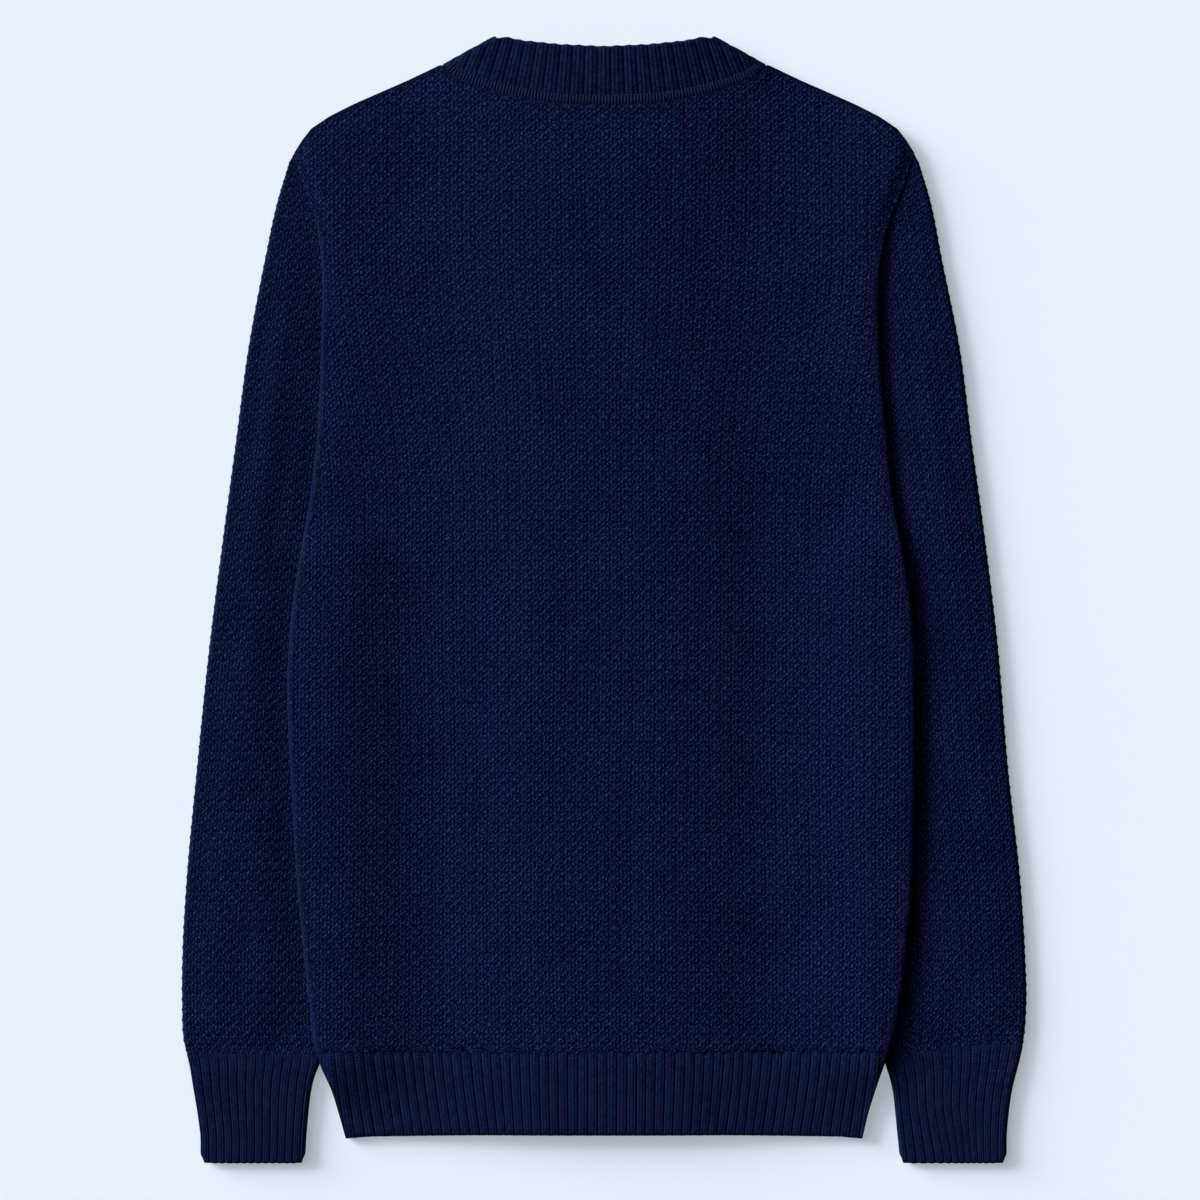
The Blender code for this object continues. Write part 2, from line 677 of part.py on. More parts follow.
class Neckband:
    """The ribbed band round the neck, from one centre-front end to the other.

    A station is a line across the band, from its foot at the neck seam to its free edge, with its
    share of rib and which layer it is on.
    """

    def __init__(self):
        corner = np.array(BAND_CORNER)
        foot = np.array((NECK_HALF, NECK_POINT_Y))
        along = (corner - foot) / np.linalg.norm(corner - foot)
        self.outward = np.array((along[1], -along[0]))
        self.foot = foot - self.outward * NECK_FOLD + along * NECK_FOLD_INSET
        self.corner = corner - self.outward * NECK_FOLD

    def back_stations(self):
        """Foot and edge points across the back, from -X to +X, with the wall of the rib there."""
        shares = rib_places(0.0, 1.0, NECK_RIBS)
        walls = rib_wall(NECK_RIBS)
        stations = []
        foot_half = self.foot[0]
        edge_half = self.corner[0]
        for share, thick in zip(shares, walls):
            across = 2.0 * share - 1.0
            foot_x = foot_half * across
            edge_x = edge_half * across
            near = float(ease((abs(across) - 0.93) / 0.07))
            foot_y = float(outline_at(BACK_NECK_SEAM, foot_x))
            foot_y += (self.foot[1] - float(outline_at(BACK_NECK_SEAM, foot_half))) * near
            edge_y = float(outline_at(BACK_BAND_EDGE, edge_x))
            edge_y += (self.corner[1] - float(outline_at(BACK_BAND_EDGE, edge_half))) * near
            stations.append(((foot_x, foot_y), (edge_x, edge_y), thick))
        return stations

    @staticmethod
    def foot_angle(share):
        """Angle round the front neck seam, from the fold (0) to past the centre (1)."""
        return share * (math.pi / 2 + math.asin(BAND_WIDTH / 2 / NECK_HALF))

    def front_station(self, share):
        """Foot and edge points on the right front, from the fold (0) to past the centre (1)."""
        foot_angle = self.foot_angle(share)
        edge_angle = share * (math.pi / 2 + math.asin(BAND_WIDTH / 2 / BAND_CORNER[0]))
        foot = (NECK_HALF * math.cos(foot_angle), NECK_POINT_Y - FRONT_NECK_DROP * math.sin(foot_angle))
        edge = (
            BAND_CORNER[0] * math.cos(edge_angle),
            BAND_CORNER[1] - FRONT_BAND_DROP * math.sin(edge_angle),
        )
        return foot, edge

    def heights(self, x, y, side):
        """Underside of the front layer and of the back layer."""
        return float(front_lift(x, y, side)), float(back_lift(x, y))

    def front_column(self, sign, share, side):
        """One column of both skins on a front."""
        foot, edge = self.front_station(share)
        outer, inner = [], []
        for row, _ in BAND_ROWS:
            x = sign * (foot[0] + (edge[0] - foot[0]) * row)
            y = foot[1] + (edge[1] - foot[1]) * row
            low, _ = self.heights(x, y, side)
            outer.append((x, y, low))
            inner.append((x, y, low + CLOTH))
        return outer, inner

    def fold_column(self, sign, angle, side):
        """One column of both skins round a side fold; angle is 90 on top and -90 below."""
        a = math.radians(angle)
        outer, inner = [], []
        for row, _ in BAND_ROWS:
            centre = self.foot + (self.corner - self.foot) * row
            low, top = self.heights(sign * centre[0], centre[1], side)
            ends = ((low, top + RIB_GROOVE, NECK_FOLD, outer), (low + CLOTH, top, 0.2, inner))
            for bottom, upper, reach, skin in ends:
                middle = (upper + bottom) / 2
                half = (upper - bottom) / 2
                place = centre + self.outward * reach * math.cos(a)
                skin.append((sign * place[0], place[1], middle + half * math.sin(a)))
        return outer, inner

    def back_column(self, station):
        """One column of both skins across the back."""
        foot, edge, thick = station
        outer, inner = [], []
        for row, relief in BAND_ROWS:
            x = foot[0] + (edge[0] - foot[0]) * row
            y = foot[1] + (edge[1] - foot[1]) * row
            _, top = self.heights(x, y, "left")
            if relief == 1.0:
                body = thick
            elif relief < 0.0:
                body = 0.5 * thick
            else:
                body = RIB_GROOVE + (RIB_CREST - RIB_GROOVE) * relief
            outer.append((x, y, top + body))
            inner.append((x, y, top))
        return outer, inner

    def grids(self):
        """Outer and inner grids, rows from the foot to the free edge."""
        columns = []
        shares = list(FRONT_STATIONS) + [1.0]
        for share in reversed(shares):
            columns.append(self.front_column(-1.0, share, "left"))
        for angle in reversed(FOLD_ANGLES):
            columns.append(self.fold_column(-1.0, angle, "left"))
        for station in self.back_stations()[1:-1]:
            columns.append(self.back_column(station))
        for angle in FOLD_ANGLES:
            columns.append(self.fold_column(1.0, angle, "right"))
        for share in shares:
            columns.append(self.front_column(1.0, share, "right"))
        outer = np.array([c[0] for c in columns]).transpose(1, 0, 2)
        inner = np.array([c[1] for c in columns]).transpose(1, 0, 2)
        return outer, inner


def build_neckband(finish, collection):
    """The neckband; the caller cuts its buttonhole."""
    outer, inner = Neckband().grids()
    return wall("neckband", outer, inner, finish, collection)


# ---------------------------------------------------------------------------- bands and buttons

def button_heights():
    """Y of each button, from the neckband down to the hem."""
    return np.linspace(FIRST_BUTTON, LAST_BUTTON, BUTTONS)


def box_mesh(name, size, centre, bevel):
    """A box from its size and centre, with soft edges."""
    bm = bmesh.new()
    bmesh.ops.create_cube(bm, size=1.0)
    bmesh.ops.scale(bm, vec=[s * MM for s in size], verts=bm.verts)
    bmesh.ops.bevel(bm, geom=bm.edges, offset=bevel * MM, segments=2, profile=0.5, affect="EDGES")
    bmesh.ops.translate(bm, vec=[c * MM for c in centre], verts=bm.verts)
    mesh = bpy.data.meshes.new(name)
    bm.to_mesh(mesh)
    bm.free()
    return mesh


def peg(name, radius, depth, sides, centre, collection, length=0.0):
    """A hidden upright peg to cut a hole with, drawn out along Y to a length if one is given."""
    bm = bmesh.new()
    r = radius * MM
    bmesh.ops.create_cone(bm, cap_ends=True, segments=sides, radius1=r, radius2=r, depth=depth * MM)
    stretch = max(length / 2 - radius, 0.0) * MM
    for vert in bm.verts:
        if abs(vert.co.y) > 1e-7:
            vert.co.y += math.copysign(stretch, vert.co.y)
    bmesh.ops.translate(bm, vec=[c * MM for c in centre], verts=bm.verts)
    mesh = bpy.data.meshes.new(name)
    bm.to_mesh(mesh)
    bm.free()
    cutter = bpy.data.objects.new(name, mesh)
    collection.objects.link(cutter)
    cutter.hide_render = True
    cutter.display_type = "WIRE"
    return cutter


def buttonhole_cutter(y, collection):
    """A slot with round ends, to cut one buttonhole."""
    width, length = BUTTONHOLE
    centre = (0.0, y, LOWER_BAND + CLOTH / 2)
    return peg("buttonhole_cutter", width / 2, CLOTH * 2, 10, centre, collection, length)


def cut(piece, cutter):
    """Cut one piece with another."""
    step = piece.modifiers.new("cut", "BOOLEAN")
    step.operation = "DIFFERENCE"
    step.object = cutter


def build_band(side, finish, collection):
    """One front band, from the neckband's foot to the hem."""
    low = LOWER_BAND if side == "left" else UPPER_BAND
    top = NECK_POINT_Y - FRONT_NECK_DROP - SEAM_GAP
    size = (BAND_WIDTH, top - HEM, CLOTH)
    centre = (0.0, (top + HEM) / 2, low + CLOTH / 2)
    mesh = box_mesh("button_band_" + side, size, centre, BAND_ROUND)
    return add_object("button_band_" + side, mesh, finish, collection)


def build_button(number, y, finish, collection, cutters):
    """A turned four-hole button on its thread stem, its face on the floor."""
    r = BUTTON_DIAMETER / 2
    profile = (
        (0.0, UPPER_BAND - SEAM_GAP),
        (SHANK, UPPER_BAND - SEAM_GAP),
        (SHANK, BUTTON_THICK),
        (r - BUTTON_ROUND, BUTTON_THICK),
        (r, BUTTON_THICK / 2),
        (r - BUTTON_ROUND, 0.0),
        (r - BUTTON_RIM, 0.0),
        (r - BUTTON_RIM - 1.0, BUTTON_DISH),
        (0.0, BUTTON_DISH),
    )
    mesh = bpy.data.meshes.new("button_%d" % number)
    points = [(x * MM, 0.0, z * MM) for x, z in profile]
    mesh.from_pydata(points, [(i, i + 1) for i in range(len(points) - 1)], [])
    button = add_object("button_%d" % number, mesh, finish, collection)
    button.location = (0.0, y * MM, 0.0)
    turn = button.modifiers.new("turn", "SCREW")
    turn.steps = 10
    turn.render_steps = 10
    turn.use_merge_vertices = True
    turn.merge_threshold = 0.00001
    turn.use_smooth_shade = True
    for k in range(4):
        a = math.radians(45.0 + 90.0 * k)
        centre = (math.cos(a) * THREAD_CIRCLE, y + math.sin(a) * THREAD_CIRCLE, 0.0)
        hole = peg("thread_hole", THREAD_HOLE / 2, 6.0, 5, centre, cutters)
        cut(button, hole)
    return button


# ------------------------------------------------------------------------------------------ main

def main():
    """Build the whole cardigan."""
    for old in list(bpy.data.objects):
        bpy.data.objects.remove(old, do_unlink=True)
    pieces = bpy.data.collections.new("cardigan")
    cutters = bpy.data.collections.new("cutters")
    bpy.context.scene.collection.children.link(pieces)
    bpy.context.scene.collection.children.link(cutters)

    knit = material("navy_knit", NAVY, 0.9)
    rib = material("navy_rib", NAVY_RIB, 0.88)
    horn = material("button_horn", HORN, 0.35)

    build_back(knit, pieces)
    build_hem_back(rib, pieces)
    for side in ("left", "right"):
        build_front(side, knit, pieces)
        build_hem_front(side, rib, pieces)
        build_sleeve(side, knit, pieces)
        build_cuff(side, rib, pieces)
    neckband = build_neckband(rib, pieces)
    left_band = build_band("left", rib, pieces)
    build_band("right", rib, pieces)

    for number, y in enumerate(button_heights(), start=1):
        build_button(number, float(y), horn, pieces, cutters)
        holder = neckband if number == 1 else left_band
        cut(holder, buttonhole_cutter(float(y), cutters))


main()
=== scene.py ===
"""The looks of a knitted cardigan that lies flat on its front, back up, with its neck towards +Y.

Lengths are in millimetres and become metres as each mesh is made. The wearer's left is at -X. Each
piece of cloth is a closed wall whose outer face follows the knit's own stitches; Geometry Nodes raise
the stitches and the ribs, and the same stitch pattern, finer, colours and roughens the yarn; its colour
holds a painted shade in the hollows and grooves and a painted highlight on the crests.
"""

import logging
import math
from collections.abc import Callable
from dataclasses import dataclass, field
from enum import Enum

import bmesh
import bpy
import numpy as np
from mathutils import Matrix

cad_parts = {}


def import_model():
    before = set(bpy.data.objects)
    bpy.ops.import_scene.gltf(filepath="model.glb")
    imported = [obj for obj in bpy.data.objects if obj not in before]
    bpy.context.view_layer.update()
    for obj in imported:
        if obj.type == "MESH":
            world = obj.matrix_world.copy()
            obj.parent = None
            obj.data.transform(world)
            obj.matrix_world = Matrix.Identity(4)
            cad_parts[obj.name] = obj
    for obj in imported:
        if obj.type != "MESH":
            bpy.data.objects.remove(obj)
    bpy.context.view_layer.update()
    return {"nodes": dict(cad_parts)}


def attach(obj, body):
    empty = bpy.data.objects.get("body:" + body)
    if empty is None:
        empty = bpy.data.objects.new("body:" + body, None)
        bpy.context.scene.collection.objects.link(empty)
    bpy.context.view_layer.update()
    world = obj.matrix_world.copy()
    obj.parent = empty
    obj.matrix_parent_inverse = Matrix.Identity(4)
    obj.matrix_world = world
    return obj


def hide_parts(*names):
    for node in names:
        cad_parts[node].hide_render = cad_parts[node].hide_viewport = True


Array = np.ndarray
PlanLine = Callable[[Array], Array]
PlanHeight = Callable[[Array, Array], Array]

MM = 0.001
LOG = logging.getLogger("cardigan")


class Side(Enum):
    """The wearer's left, at -X, and right, at +X."""

    LEFT = -1
    RIGHT = 1

    @property
    def word(self) -> str:
        """The side's name in a node's name."""
        return self.name.lower()


class Face(Enum):
    """Which way a panel's right side looks."""

    UP = 1
    DOWN = -1


# ---------------------------------------------------------------------------------- shapes in plan

def ease(value: Array | float) -> Array:
    """Smooth step from 0 to 1."""
    t = np.clip(value, 0.0, 1.0)
    return t * t * (3.0 - 2.0 * t)


def smooth_curve(xs: Array, ys: Array, at: Array | float) -> Array:
    """Reads a smooth curve through the points of a table.

    Args:
        xs: places of the points, in any order.
        ys: values there.
        at: places to read at, kept inside the table.

    Returns:
        The curve's values.
    """
    order = np.argsort(xs)
    xs = np.asarray(xs, float)[order]
    ys = np.asarray(ys, float)[order]
    slopes = np.gradient(ys, xs)
    at = np.clip(np.asarray(at, float), xs[0], xs[-1])
    low = np.clip(np.searchsorted(xs, at, side="right") - 1, 0, len(xs) - 2)
    span = xs[low + 1] - xs[low]
    t = (at - xs[low]) / span
    return (
        ys[low] * (1 + 2 * t) * (1 - t) ** 2
        + slopes[low] * span * t * (1 - t) ** 2
        + ys[low + 1] * t ** 2 * (3 - 2 * t)
        + slopes[low + 1] * span * t ** 2 * (t - 1)
    )


@dataclass(frozen=True)
class EdgeTable:
    """An edge that runs down both sides of the garment.

    Attributes:
        rows: (y, x on the left, x on the right) from the neck end down.
    """

    rows: tuple[tuple[float, float, float], ...]

    def at(self, y: Array | float, side: Side) -> Array:
        """X of the edge at a height."""
        table = np.array(self.rows)
        return smooth_curve(table[:, 0], table[:, 1 if side is Side.LEFT else 2], y)


@dataclass(frozen=True)
class HalfOutline:
    """A line across the garment, the same on both sides of the centre.

    Attributes:
        points: (x, y) from the centre outwards.
    """

    points: tuple[tuple[float, float], ...]

    def at(self, x: Array | float) -> Array:
        """Y of the line at x."""
        return np.interp(np.abs(x), [p[0] for p in self.points], [p[1] for p in self.points])


BODY_EDGE = EdgeTable((
    (294.0, -204.3, 204.3), (280.0, -200.5, 200.0), (266.0, -195.0, 195.0), (245.0, -189.0, 187.0),
    (220.0, -186.0, 182.0), (165.0, -186.5, 181.5), (115.0, -188.5, 185.5), (72.0, -193.0, 190.0),
    (35.0, -199.0, 196.0), (-5.0, -205.0, 202.0), (-50.0, -208.3, 203.8), (-90.0, -207.5, 204.0),
    (-130.0, -205.3, 203.8), (-190.0, -201.7, 202.0), (-235.0, -197.3, 198.3), (-265.0, -194.0, 194.5),
    (-297.0, -189.5, 187.2), (-305.0, -186.9, 184.0), (-322.0, -179.7, 178.5), (-338.0, -175.0, 174.0),
    (-355.0, -170.3, 170.1),
))
SLEEVE_OUTER = EdgeTable((
    (289.0, -207.6, 207.3), (264.0, -215.3, 215.0), (224.0, -224.0, 223.0), (165.0, -235.0, 234.8),
    (105.0, -243.0, 242.5), (45.0, -251.0, 250.7), (-30.0, -260.5, 259.7), (-110.0, -268.7, 266.4),
    (-190.0, -276.0, 275.0), (-235.0, -278.4, 277.8), (-265.0, -278.6, 278.6), (-292.0, -277.2, 276.4),
    (-306.0, -273.5, 273.1), (-322.0, -270.8, 269.0), (-338.0, -268.1, 266.6), (-354.0, -266.2, 265.3),
    (-371.3, -266.0, 265.2),
))
SLEEVE_INNER = EdgeTable((
    (299.0, -200.4, 200.2), (280.0, -195.0, 194.5), (266.0, -189.2, 189.2), (245.0, -183.0, 181.0),
    (220.0, -180.0, 176.0), (165.0, -180.5, 175.5), (115.0, -182.5, 179.5), (60.0, -188.9, 185.8),
    (15.0, -189.5, 186.5), (-50.0, -194.3, 189.8), (-90.0, -193.5, 190.0), (-190.0, -187.7, 188.0),
    (-260.0, -185.6, 186.0), (-297.0, -186.0, 183.7), (-306.0, -187.6, 185.2), (-314.0, -190.9, 187.9),
    (-322.0, -192.9, 189.9), (-338.0, -195.0, 191.9), (-354.0, -196.3, 193.3), (-371.3, -197.0, 194.6),
))
SHOULDER = HalfOutline((
    (107.7, 352.2), (130.0, 341.7), (148.0, 333.8), (165.6, 325.9),
    (181.0, 318.0), (192.8, 310.0), (199.3, 302.0), (204.3, 294.0),
))
NECK_SEAM = HalfOutline((
    (0.0, 325.0), (31.0, 326.4), (53.0, 329.6), (73.0, 334.4), (91.0, 340.8), (101.0, 345.5), (107.7, 352.2),
))
NECK_EDGE = HalfOutline(((0.0, 363.8), (30.0, 365.2), (54.0, 367.8), (64.0, 370.0), (71.7, 371.3)))


# ------------------------------------------------------------------------------ how the layers lie

@dataclass(frozen=True)
class Lie:
    """Sizes of the garment as it lies, the same as its solids', and the height of each layer."""

    cloth: float = 2.4
    ply_gap: float = 0.8
    seam_gap: float = 0.3
    hem_rise: float = 2.6
    step_run: float = 17.0
    back_run: float = 84.0
    front_lead: float = 3.5
    back_lead: float = 7.0
    seam_top: float = 299.0
    underarm: float = 60.0
    underarm_run: float = 35.0
    rib_line: float = -297.0
    hem: float = -355.0
    cuff_end: float = -371.3
    neck_half: float = 107.7
    neck_point_y: float = 352.2
    front_neck_drop: float = 90.0
    front_band_drop: float = 74.3
    corner: tuple[float, float] = (71.7, 371.3)
    band_width: float = 30.0
    button_thick: float = 2.4
    rise: float = 95.0
    rise_back: float = 138.0
    back_level: float = 22.0
    hem_corner_y: float = -345.0
    hem_corner_run: float = 45.0

    @property
    def tube(self) -> float:
        """Height of a sleeve that lies flat."""
        return 2 * self.cloth + self.ply_gap

    @property
    def lower_band(self) -> float:
        """Underside of the buttonhole band."""
        return self.button_thick + self.seam_gap

    @property
    def upper_band(self) -> float:
        """Underside of the button band."""
        return self.lower_band + self.cloth + self.seam_gap

    def below_underarm(self, y: Array | float) -> Array:
        """0 above the underarm, 1 where the whole body lies on the sleeve."""
        return ease((self.underarm - np.asarray(y, float)) / self.underarm_run)

    def over_sleeve(self, x: Array, y: Array, lead: float, run: float) -> Array:
        """0 on the open floor, 1 where a panel is over a sleeve's inner edge."""
        inner = np.where(
            np.asarray(x) < 0, -SLEEVE_INNER.at(y, Side.LEFT), SLEEVE_INNER.at(y, Side.RIGHT)
        )
        above_corner = ease((np.asarray(y) - self.hem_corner_y) / self.hem_corner_run)
        return ease((np.abs(x) - inner + lead + run) / run) * above_corner

    def front(self, x: Array, y: Array, side: Side) -> Array:
        """Height of a front's underside."""
        level = self.lower_band if side is Side.LEFT else self.upper_band
        reach = self.rise + self.band_width / 2
        centre = level * ease((reach + side.value * -1.0 * np.asarray(x)) / self.rise)
        step = self.tube + self.seam_gap
        return centre + step * self.below_underarm(y) * self.over_sleeve(x, y, self.front_lead, self.step_run)

    def back(self, x: Array, y: Array) -> Array:
        """Height of the back's underside."""
        centre = self.upper_band * ease((self.rise_back + self.back_level - np.abs(x)) / self.rise_back)
        step = self.tube + self.seam_gap
        lap = step - self.cloth - self.ply_gap
        side_rise = lap + (step - lap) * self.below_underarm(y)
        return self.cloth + self.ply_gap + centre + side_rise * self.over_sleeve(x, y, self.back_lead, self.back_run)


@dataclass(frozen=True)
class Crease:
    """One soft trough (or ridge, if its depth is negative) along a line in plan."""

    start: tuple[float, float]
    end: tuple[float, float]
    width: float
    depth: float

    def height(self, x: Array, y: Array) -> Array:
        """How much the crease lifts the cloth."""
        along = np.subtract(self.end, self.start)
        length = float(np.hypot(*along))
        along = along / length
        dx = x - self.start[0]
        dy = y - self.start[1]
        run = dx * along[0] + dy * along[1]
        off = dx * along[1] - dy * along[0]
        ends = ease(run / (0.3 * length)) * ease((length - run) / (0.3 * length))
        return -self.depth * ends * np.exp(-((off / self.width) ** 2))


def creases_at(creases: tuple[Crease, ...], x: Array, y: Array) -> Array:
    """Adds up all creases."""
    total = np.zeros(np.broadcast(x, y).shape)
    for crease in creases:
        total = total + crease.height(x, y)
    return total


BACK_CREASES = (
    Crease((-84.0, 60.0), (-72.0, -240.0), 13.0, 0.42),
    Crease((-20.0, 190.0), (-26.0, -210.0), 16.0, 0.34),
    Crease((24.0, 20.0), (18.0, -290.0), 12.0, 0.40),
    Crease((102.0, 120.0), (96.0, -180.0), 15.0, 0.36),
    Crease((-186.0, 96.0), (-120.0, 10.0), 12.0, 0.55),
    Crease((182.0, 100.0), (124.0, 0.0), 12.0, 0.50),
    Crease((-150.0, 250.0), (-60.0, 306.0), 14.0, 0.38),
    Crease((150.0, 256.0), (70.0, 306.0), 15.0, 0.42),
    Crease((-190.0, -90.0), (-120.0, -180.0), 18.0, 0.40),
    Crease((176.0, -160.0), (90.0, -262.0), 17.0, 0.36),
    Crease((-60.0, 318.0), (64.0, 316.0), 7.0, 0.35),
)
FRONT_CREASES = (
    Crease((-150.0, 40.0), (-110.0, -120.0), 14.0, 0.30),
    Crease((128.0, 120.0), (100.0, -60.0), 13.0, 0.28),
    Crease((-90.0, 220.0), (-60.0, 60.0), 14.0, 0.24),
    Crease((70.0, -60.0), (120.0, -250.0), 15.0, 0.30),
)
SLEEVE_CREASES = (
    Crease((-214.0, 236.0), (-236.0, 60.0), 8.0, 0.45),
    Crease((-226.0, 20.0), (-252.0, -60.0), 9.0, 0.55),
    Crease((-216.0, -120.0), (-262.0, -150.0), 10.0, 0.50),
    Crease((-232.0, -190.0), (-240.0, -280.0), 9.0, 0.40),
    Crease((206.0, 240.0), (236.0, 40.0), 8.0, 0.45),
    Crease((214.0, -10.0), (256.0, -70.0), 10.0, 0.60),
    Crease((230.0, -110.0), (262.0, -190.0), 9.0, 0.45),
    Crease((212.0, -210.0), (246.0, -286.0), 10.0, 0.50),
)


def sway(x: Array, y: Array, turn: float) -> Array:
    """A slow unevenness between -1 and 1, as in hand-pressed knit; turn picks one of many."""
    return (
        0.45 * np.sin(x / 31.0 + y / 87.0 + turn)
        + 0.35 * np.sin(y / 43.0 - x / 69.0 + 2.3 * turn)
        + 0.20 * np.sin((x + y) / 23.0 + 4.1 * turn)
    )


# --------------------------------------------------------------------------------------- meshing

class Skin:
    """Collects the points and faces of one closed wall of cloth.

    Each point carries its place in the knit (stitch) and how far its stitch or rib is raised there
    (relief: the height in millimetres, and the share of it that lies outside the drawn surface's
    level, 0 for all of it and 1 for none).
    """

    def __init__(self) -> None:
        """Starts an empty skin."""
        self.points: list[Array] = []
        self.stitches: list[Array] = []
        self.reliefs: list[Array] = []
        self.faces: dict[int, list[Array]] = {3: [], 4: []}
        self.corners: dict[int, list[Array]] = {3: [], 4: []}
        self.count = 0

    def add(self, points: Array, stitch: Array, relief: Array) -> Array:
        """Adds points.

        Args:
            points: (..., 3) places.
            stitch: (..., 2) places in the knit, or one for all.
            relief: (..., 2) relief, or one for all; a third part is 1 on a plain edge stitch.

        Returns:
            The points' numbers, in the shape of the grid.
        """
        shape = points.shape[:-1]
        ids = self.count + np.arange(int(np.prod(shape))).reshape(shape)
        self.count += ids.size
        self.points.append(points.reshape(-1, 3))
        self.stitches.append(np.broadcast_to(stitch, shape + (2,)).reshape(-1, 2))
        kinds = np.shape(relief)[-1]
        relief = np.broadcast_to(relief, shape + (kinds,)).reshape(-1, kinds)
        self.reliefs.append(np.pad(relief, ((0, 0), (0, 3 - kinds))))
        return ids

    def patch(self, ids: Array, stitch: Array | None = None, kept: Array | None = None) -> None:
        """Adds a grid of faces; where neighbours in the grid are one point, a face has fewer corners.

        Args:
            ids: numbers of the grid's points.
            stitch: their places in the knit, if they aren't the points' own.
            kept: which cells of the grid become faces, if not all.
        """
        if stitch is None:
            stitch = np.concatenate(self.stitches)[ids]
        picks = (slice(None, -1), slice(None, -1)), (slice(1, None), slice(None, -1)), \
            (slice(1, None), slice(1, None)), (slice(None, -1), slice(1, None))
        quads = np.stack([ids[pick] for pick in picks], axis=-1).reshape(-1, 4)
        places = np.stack([stitch[pick] for pick in picks], axis=-2).reshape(-1, 4, 2)
        if kept is not None:
            quads = quads[kept.ravel()]
            places = places[kept.ravel()]
        same = quads == np.roll(quads, -1, axis=1)
        whole = ~same.any(axis=1)
        self.faces[4].append(quads[whole])
        self.corners[4].append(places[whole])
        single = same.sum(axis=1) == 1
        left = ~same[single]
        self.faces[3].append(quads[single][left].reshape(-1, 3))
        self.corners[3].append(places[single][left].reshape(-1, 3, 2))

    def ring(self, ids: Array) -> None:
        """Adds a grid of faces whose last column joins the first."""
        self.patch(np.concatenate([ids, ids[:, :1]], axis=1))

    def zip(self, fine: Array, coarse: Array, by_length: bool = False) -> None:
        """Joins two closed chains of points that start at the same corner and run the same way.

        Args:
            fine: the chain with more points.
            coarse: the other chain.
            by_length: match the chains by their length so far, not by the nearest point.
        """
        points = np.concatenate(self.points)
        a = points[fine]
        b = points[coarse]
        if by_length:
            spans = [np.linalg.norm(np.diff(c, axis=0, append=c[:1]), axis=1) for c in (a, b)]
            travel = [np.concatenate(([0.0], np.cumsum(s)[:-1])) / s.sum() for s in spans]
            near = np.abs(travel[0][:, None] - travel[1][None, :]).argmin(axis=0)
        else:
            near = np.array([np.square(a - q).sum(axis=1).argmin() for q in b])
            place = np.arange(len(b)) / len(b)
            near = np.where((near > 0.75 * len(a)) & (place < 0.25), 0, near)
            near = np.where((near < 0.25 * len(a)) & (place > 0.75), len(a), near)
        near = np.minimum(np.maximum.accumulate(near), len(a))
        near[0] = 0
        near = np.append(near, len(a))
        fine = np.append(fine, fine[0])
        coarse = np.append(coarse, coarse[0])
        made = []
        for k in range(len(b)):
            middle = (near[k] + near[k + 1]) // 2
            made += [(fine[f], fine[f + 1], coarse[k]) for f in range(near[k], middle)]
            made.append((fine[middle], coarse[k + 1], coarse[k]))
            made += [(fine[f], fine[f + 1], coarse[k + 1]) for f in range(middle, near[k + 1])]
        triangles = np.array(made)
        self.faces[3].append(triangles)
        self.corners[3].append(np.concatenate(self.stitches)[triangles])

    def mesh(self, name: str) -> bpy.types.Mesh:
        """Makes the mesh, with its stitch map and its relief."""
        mesh = bpy.data.meshes.new(name)
        faces = [np.concatenate(self.faces[n]).tolist() for n in (4, 3) if self.faces[n]]
        corners = [np.concatenate(self.corners[n]).reshape(-1, 2) for n in (4, 3) if self.corners[n]]
        mesh.from_pydata(np.concatenate(self.points) * MM, [], sum(faces, []))
        knit_map = mesh.uv_layers.new(name="stitch")
        knit_map.data.foreach_set("uv", np.concatenate(corners).astype(np.float32).ravel())
        for label, pairs in (("stitch_at", self.stitches), ("relief", self.reliefs)):
            values = np.concatenate(pairs)
            values = np.pad(values, ((0, 0), (0, 3 - values.shape[1])))
            attribute = mesh.attributes.new(label, "FLOAT_VECTOR", "POINT")
            attribute.data.foreach_set("vector", values.astype(np.float32).ravel())
        shell = bmesh.new()
        shell.from_mesh(mesh)
        bmesh.ops.recalc_face_normals(shell, faces=shell.faces)
        if shell.calc_volume(signed=True) < 0:
            bmesh.ops.reverse_faces(shell, faces=shell.faces)
        open_edges = sum(1 for edge in shell.edges if len(edge.link_faces) != 2)
        shell.to_mesh(mesh)
        shell.free()
        mesh.shade_smooth()
        if open_edges:
            LOG.warning("%s has %d open edges", name, open_edges)
        return mesh


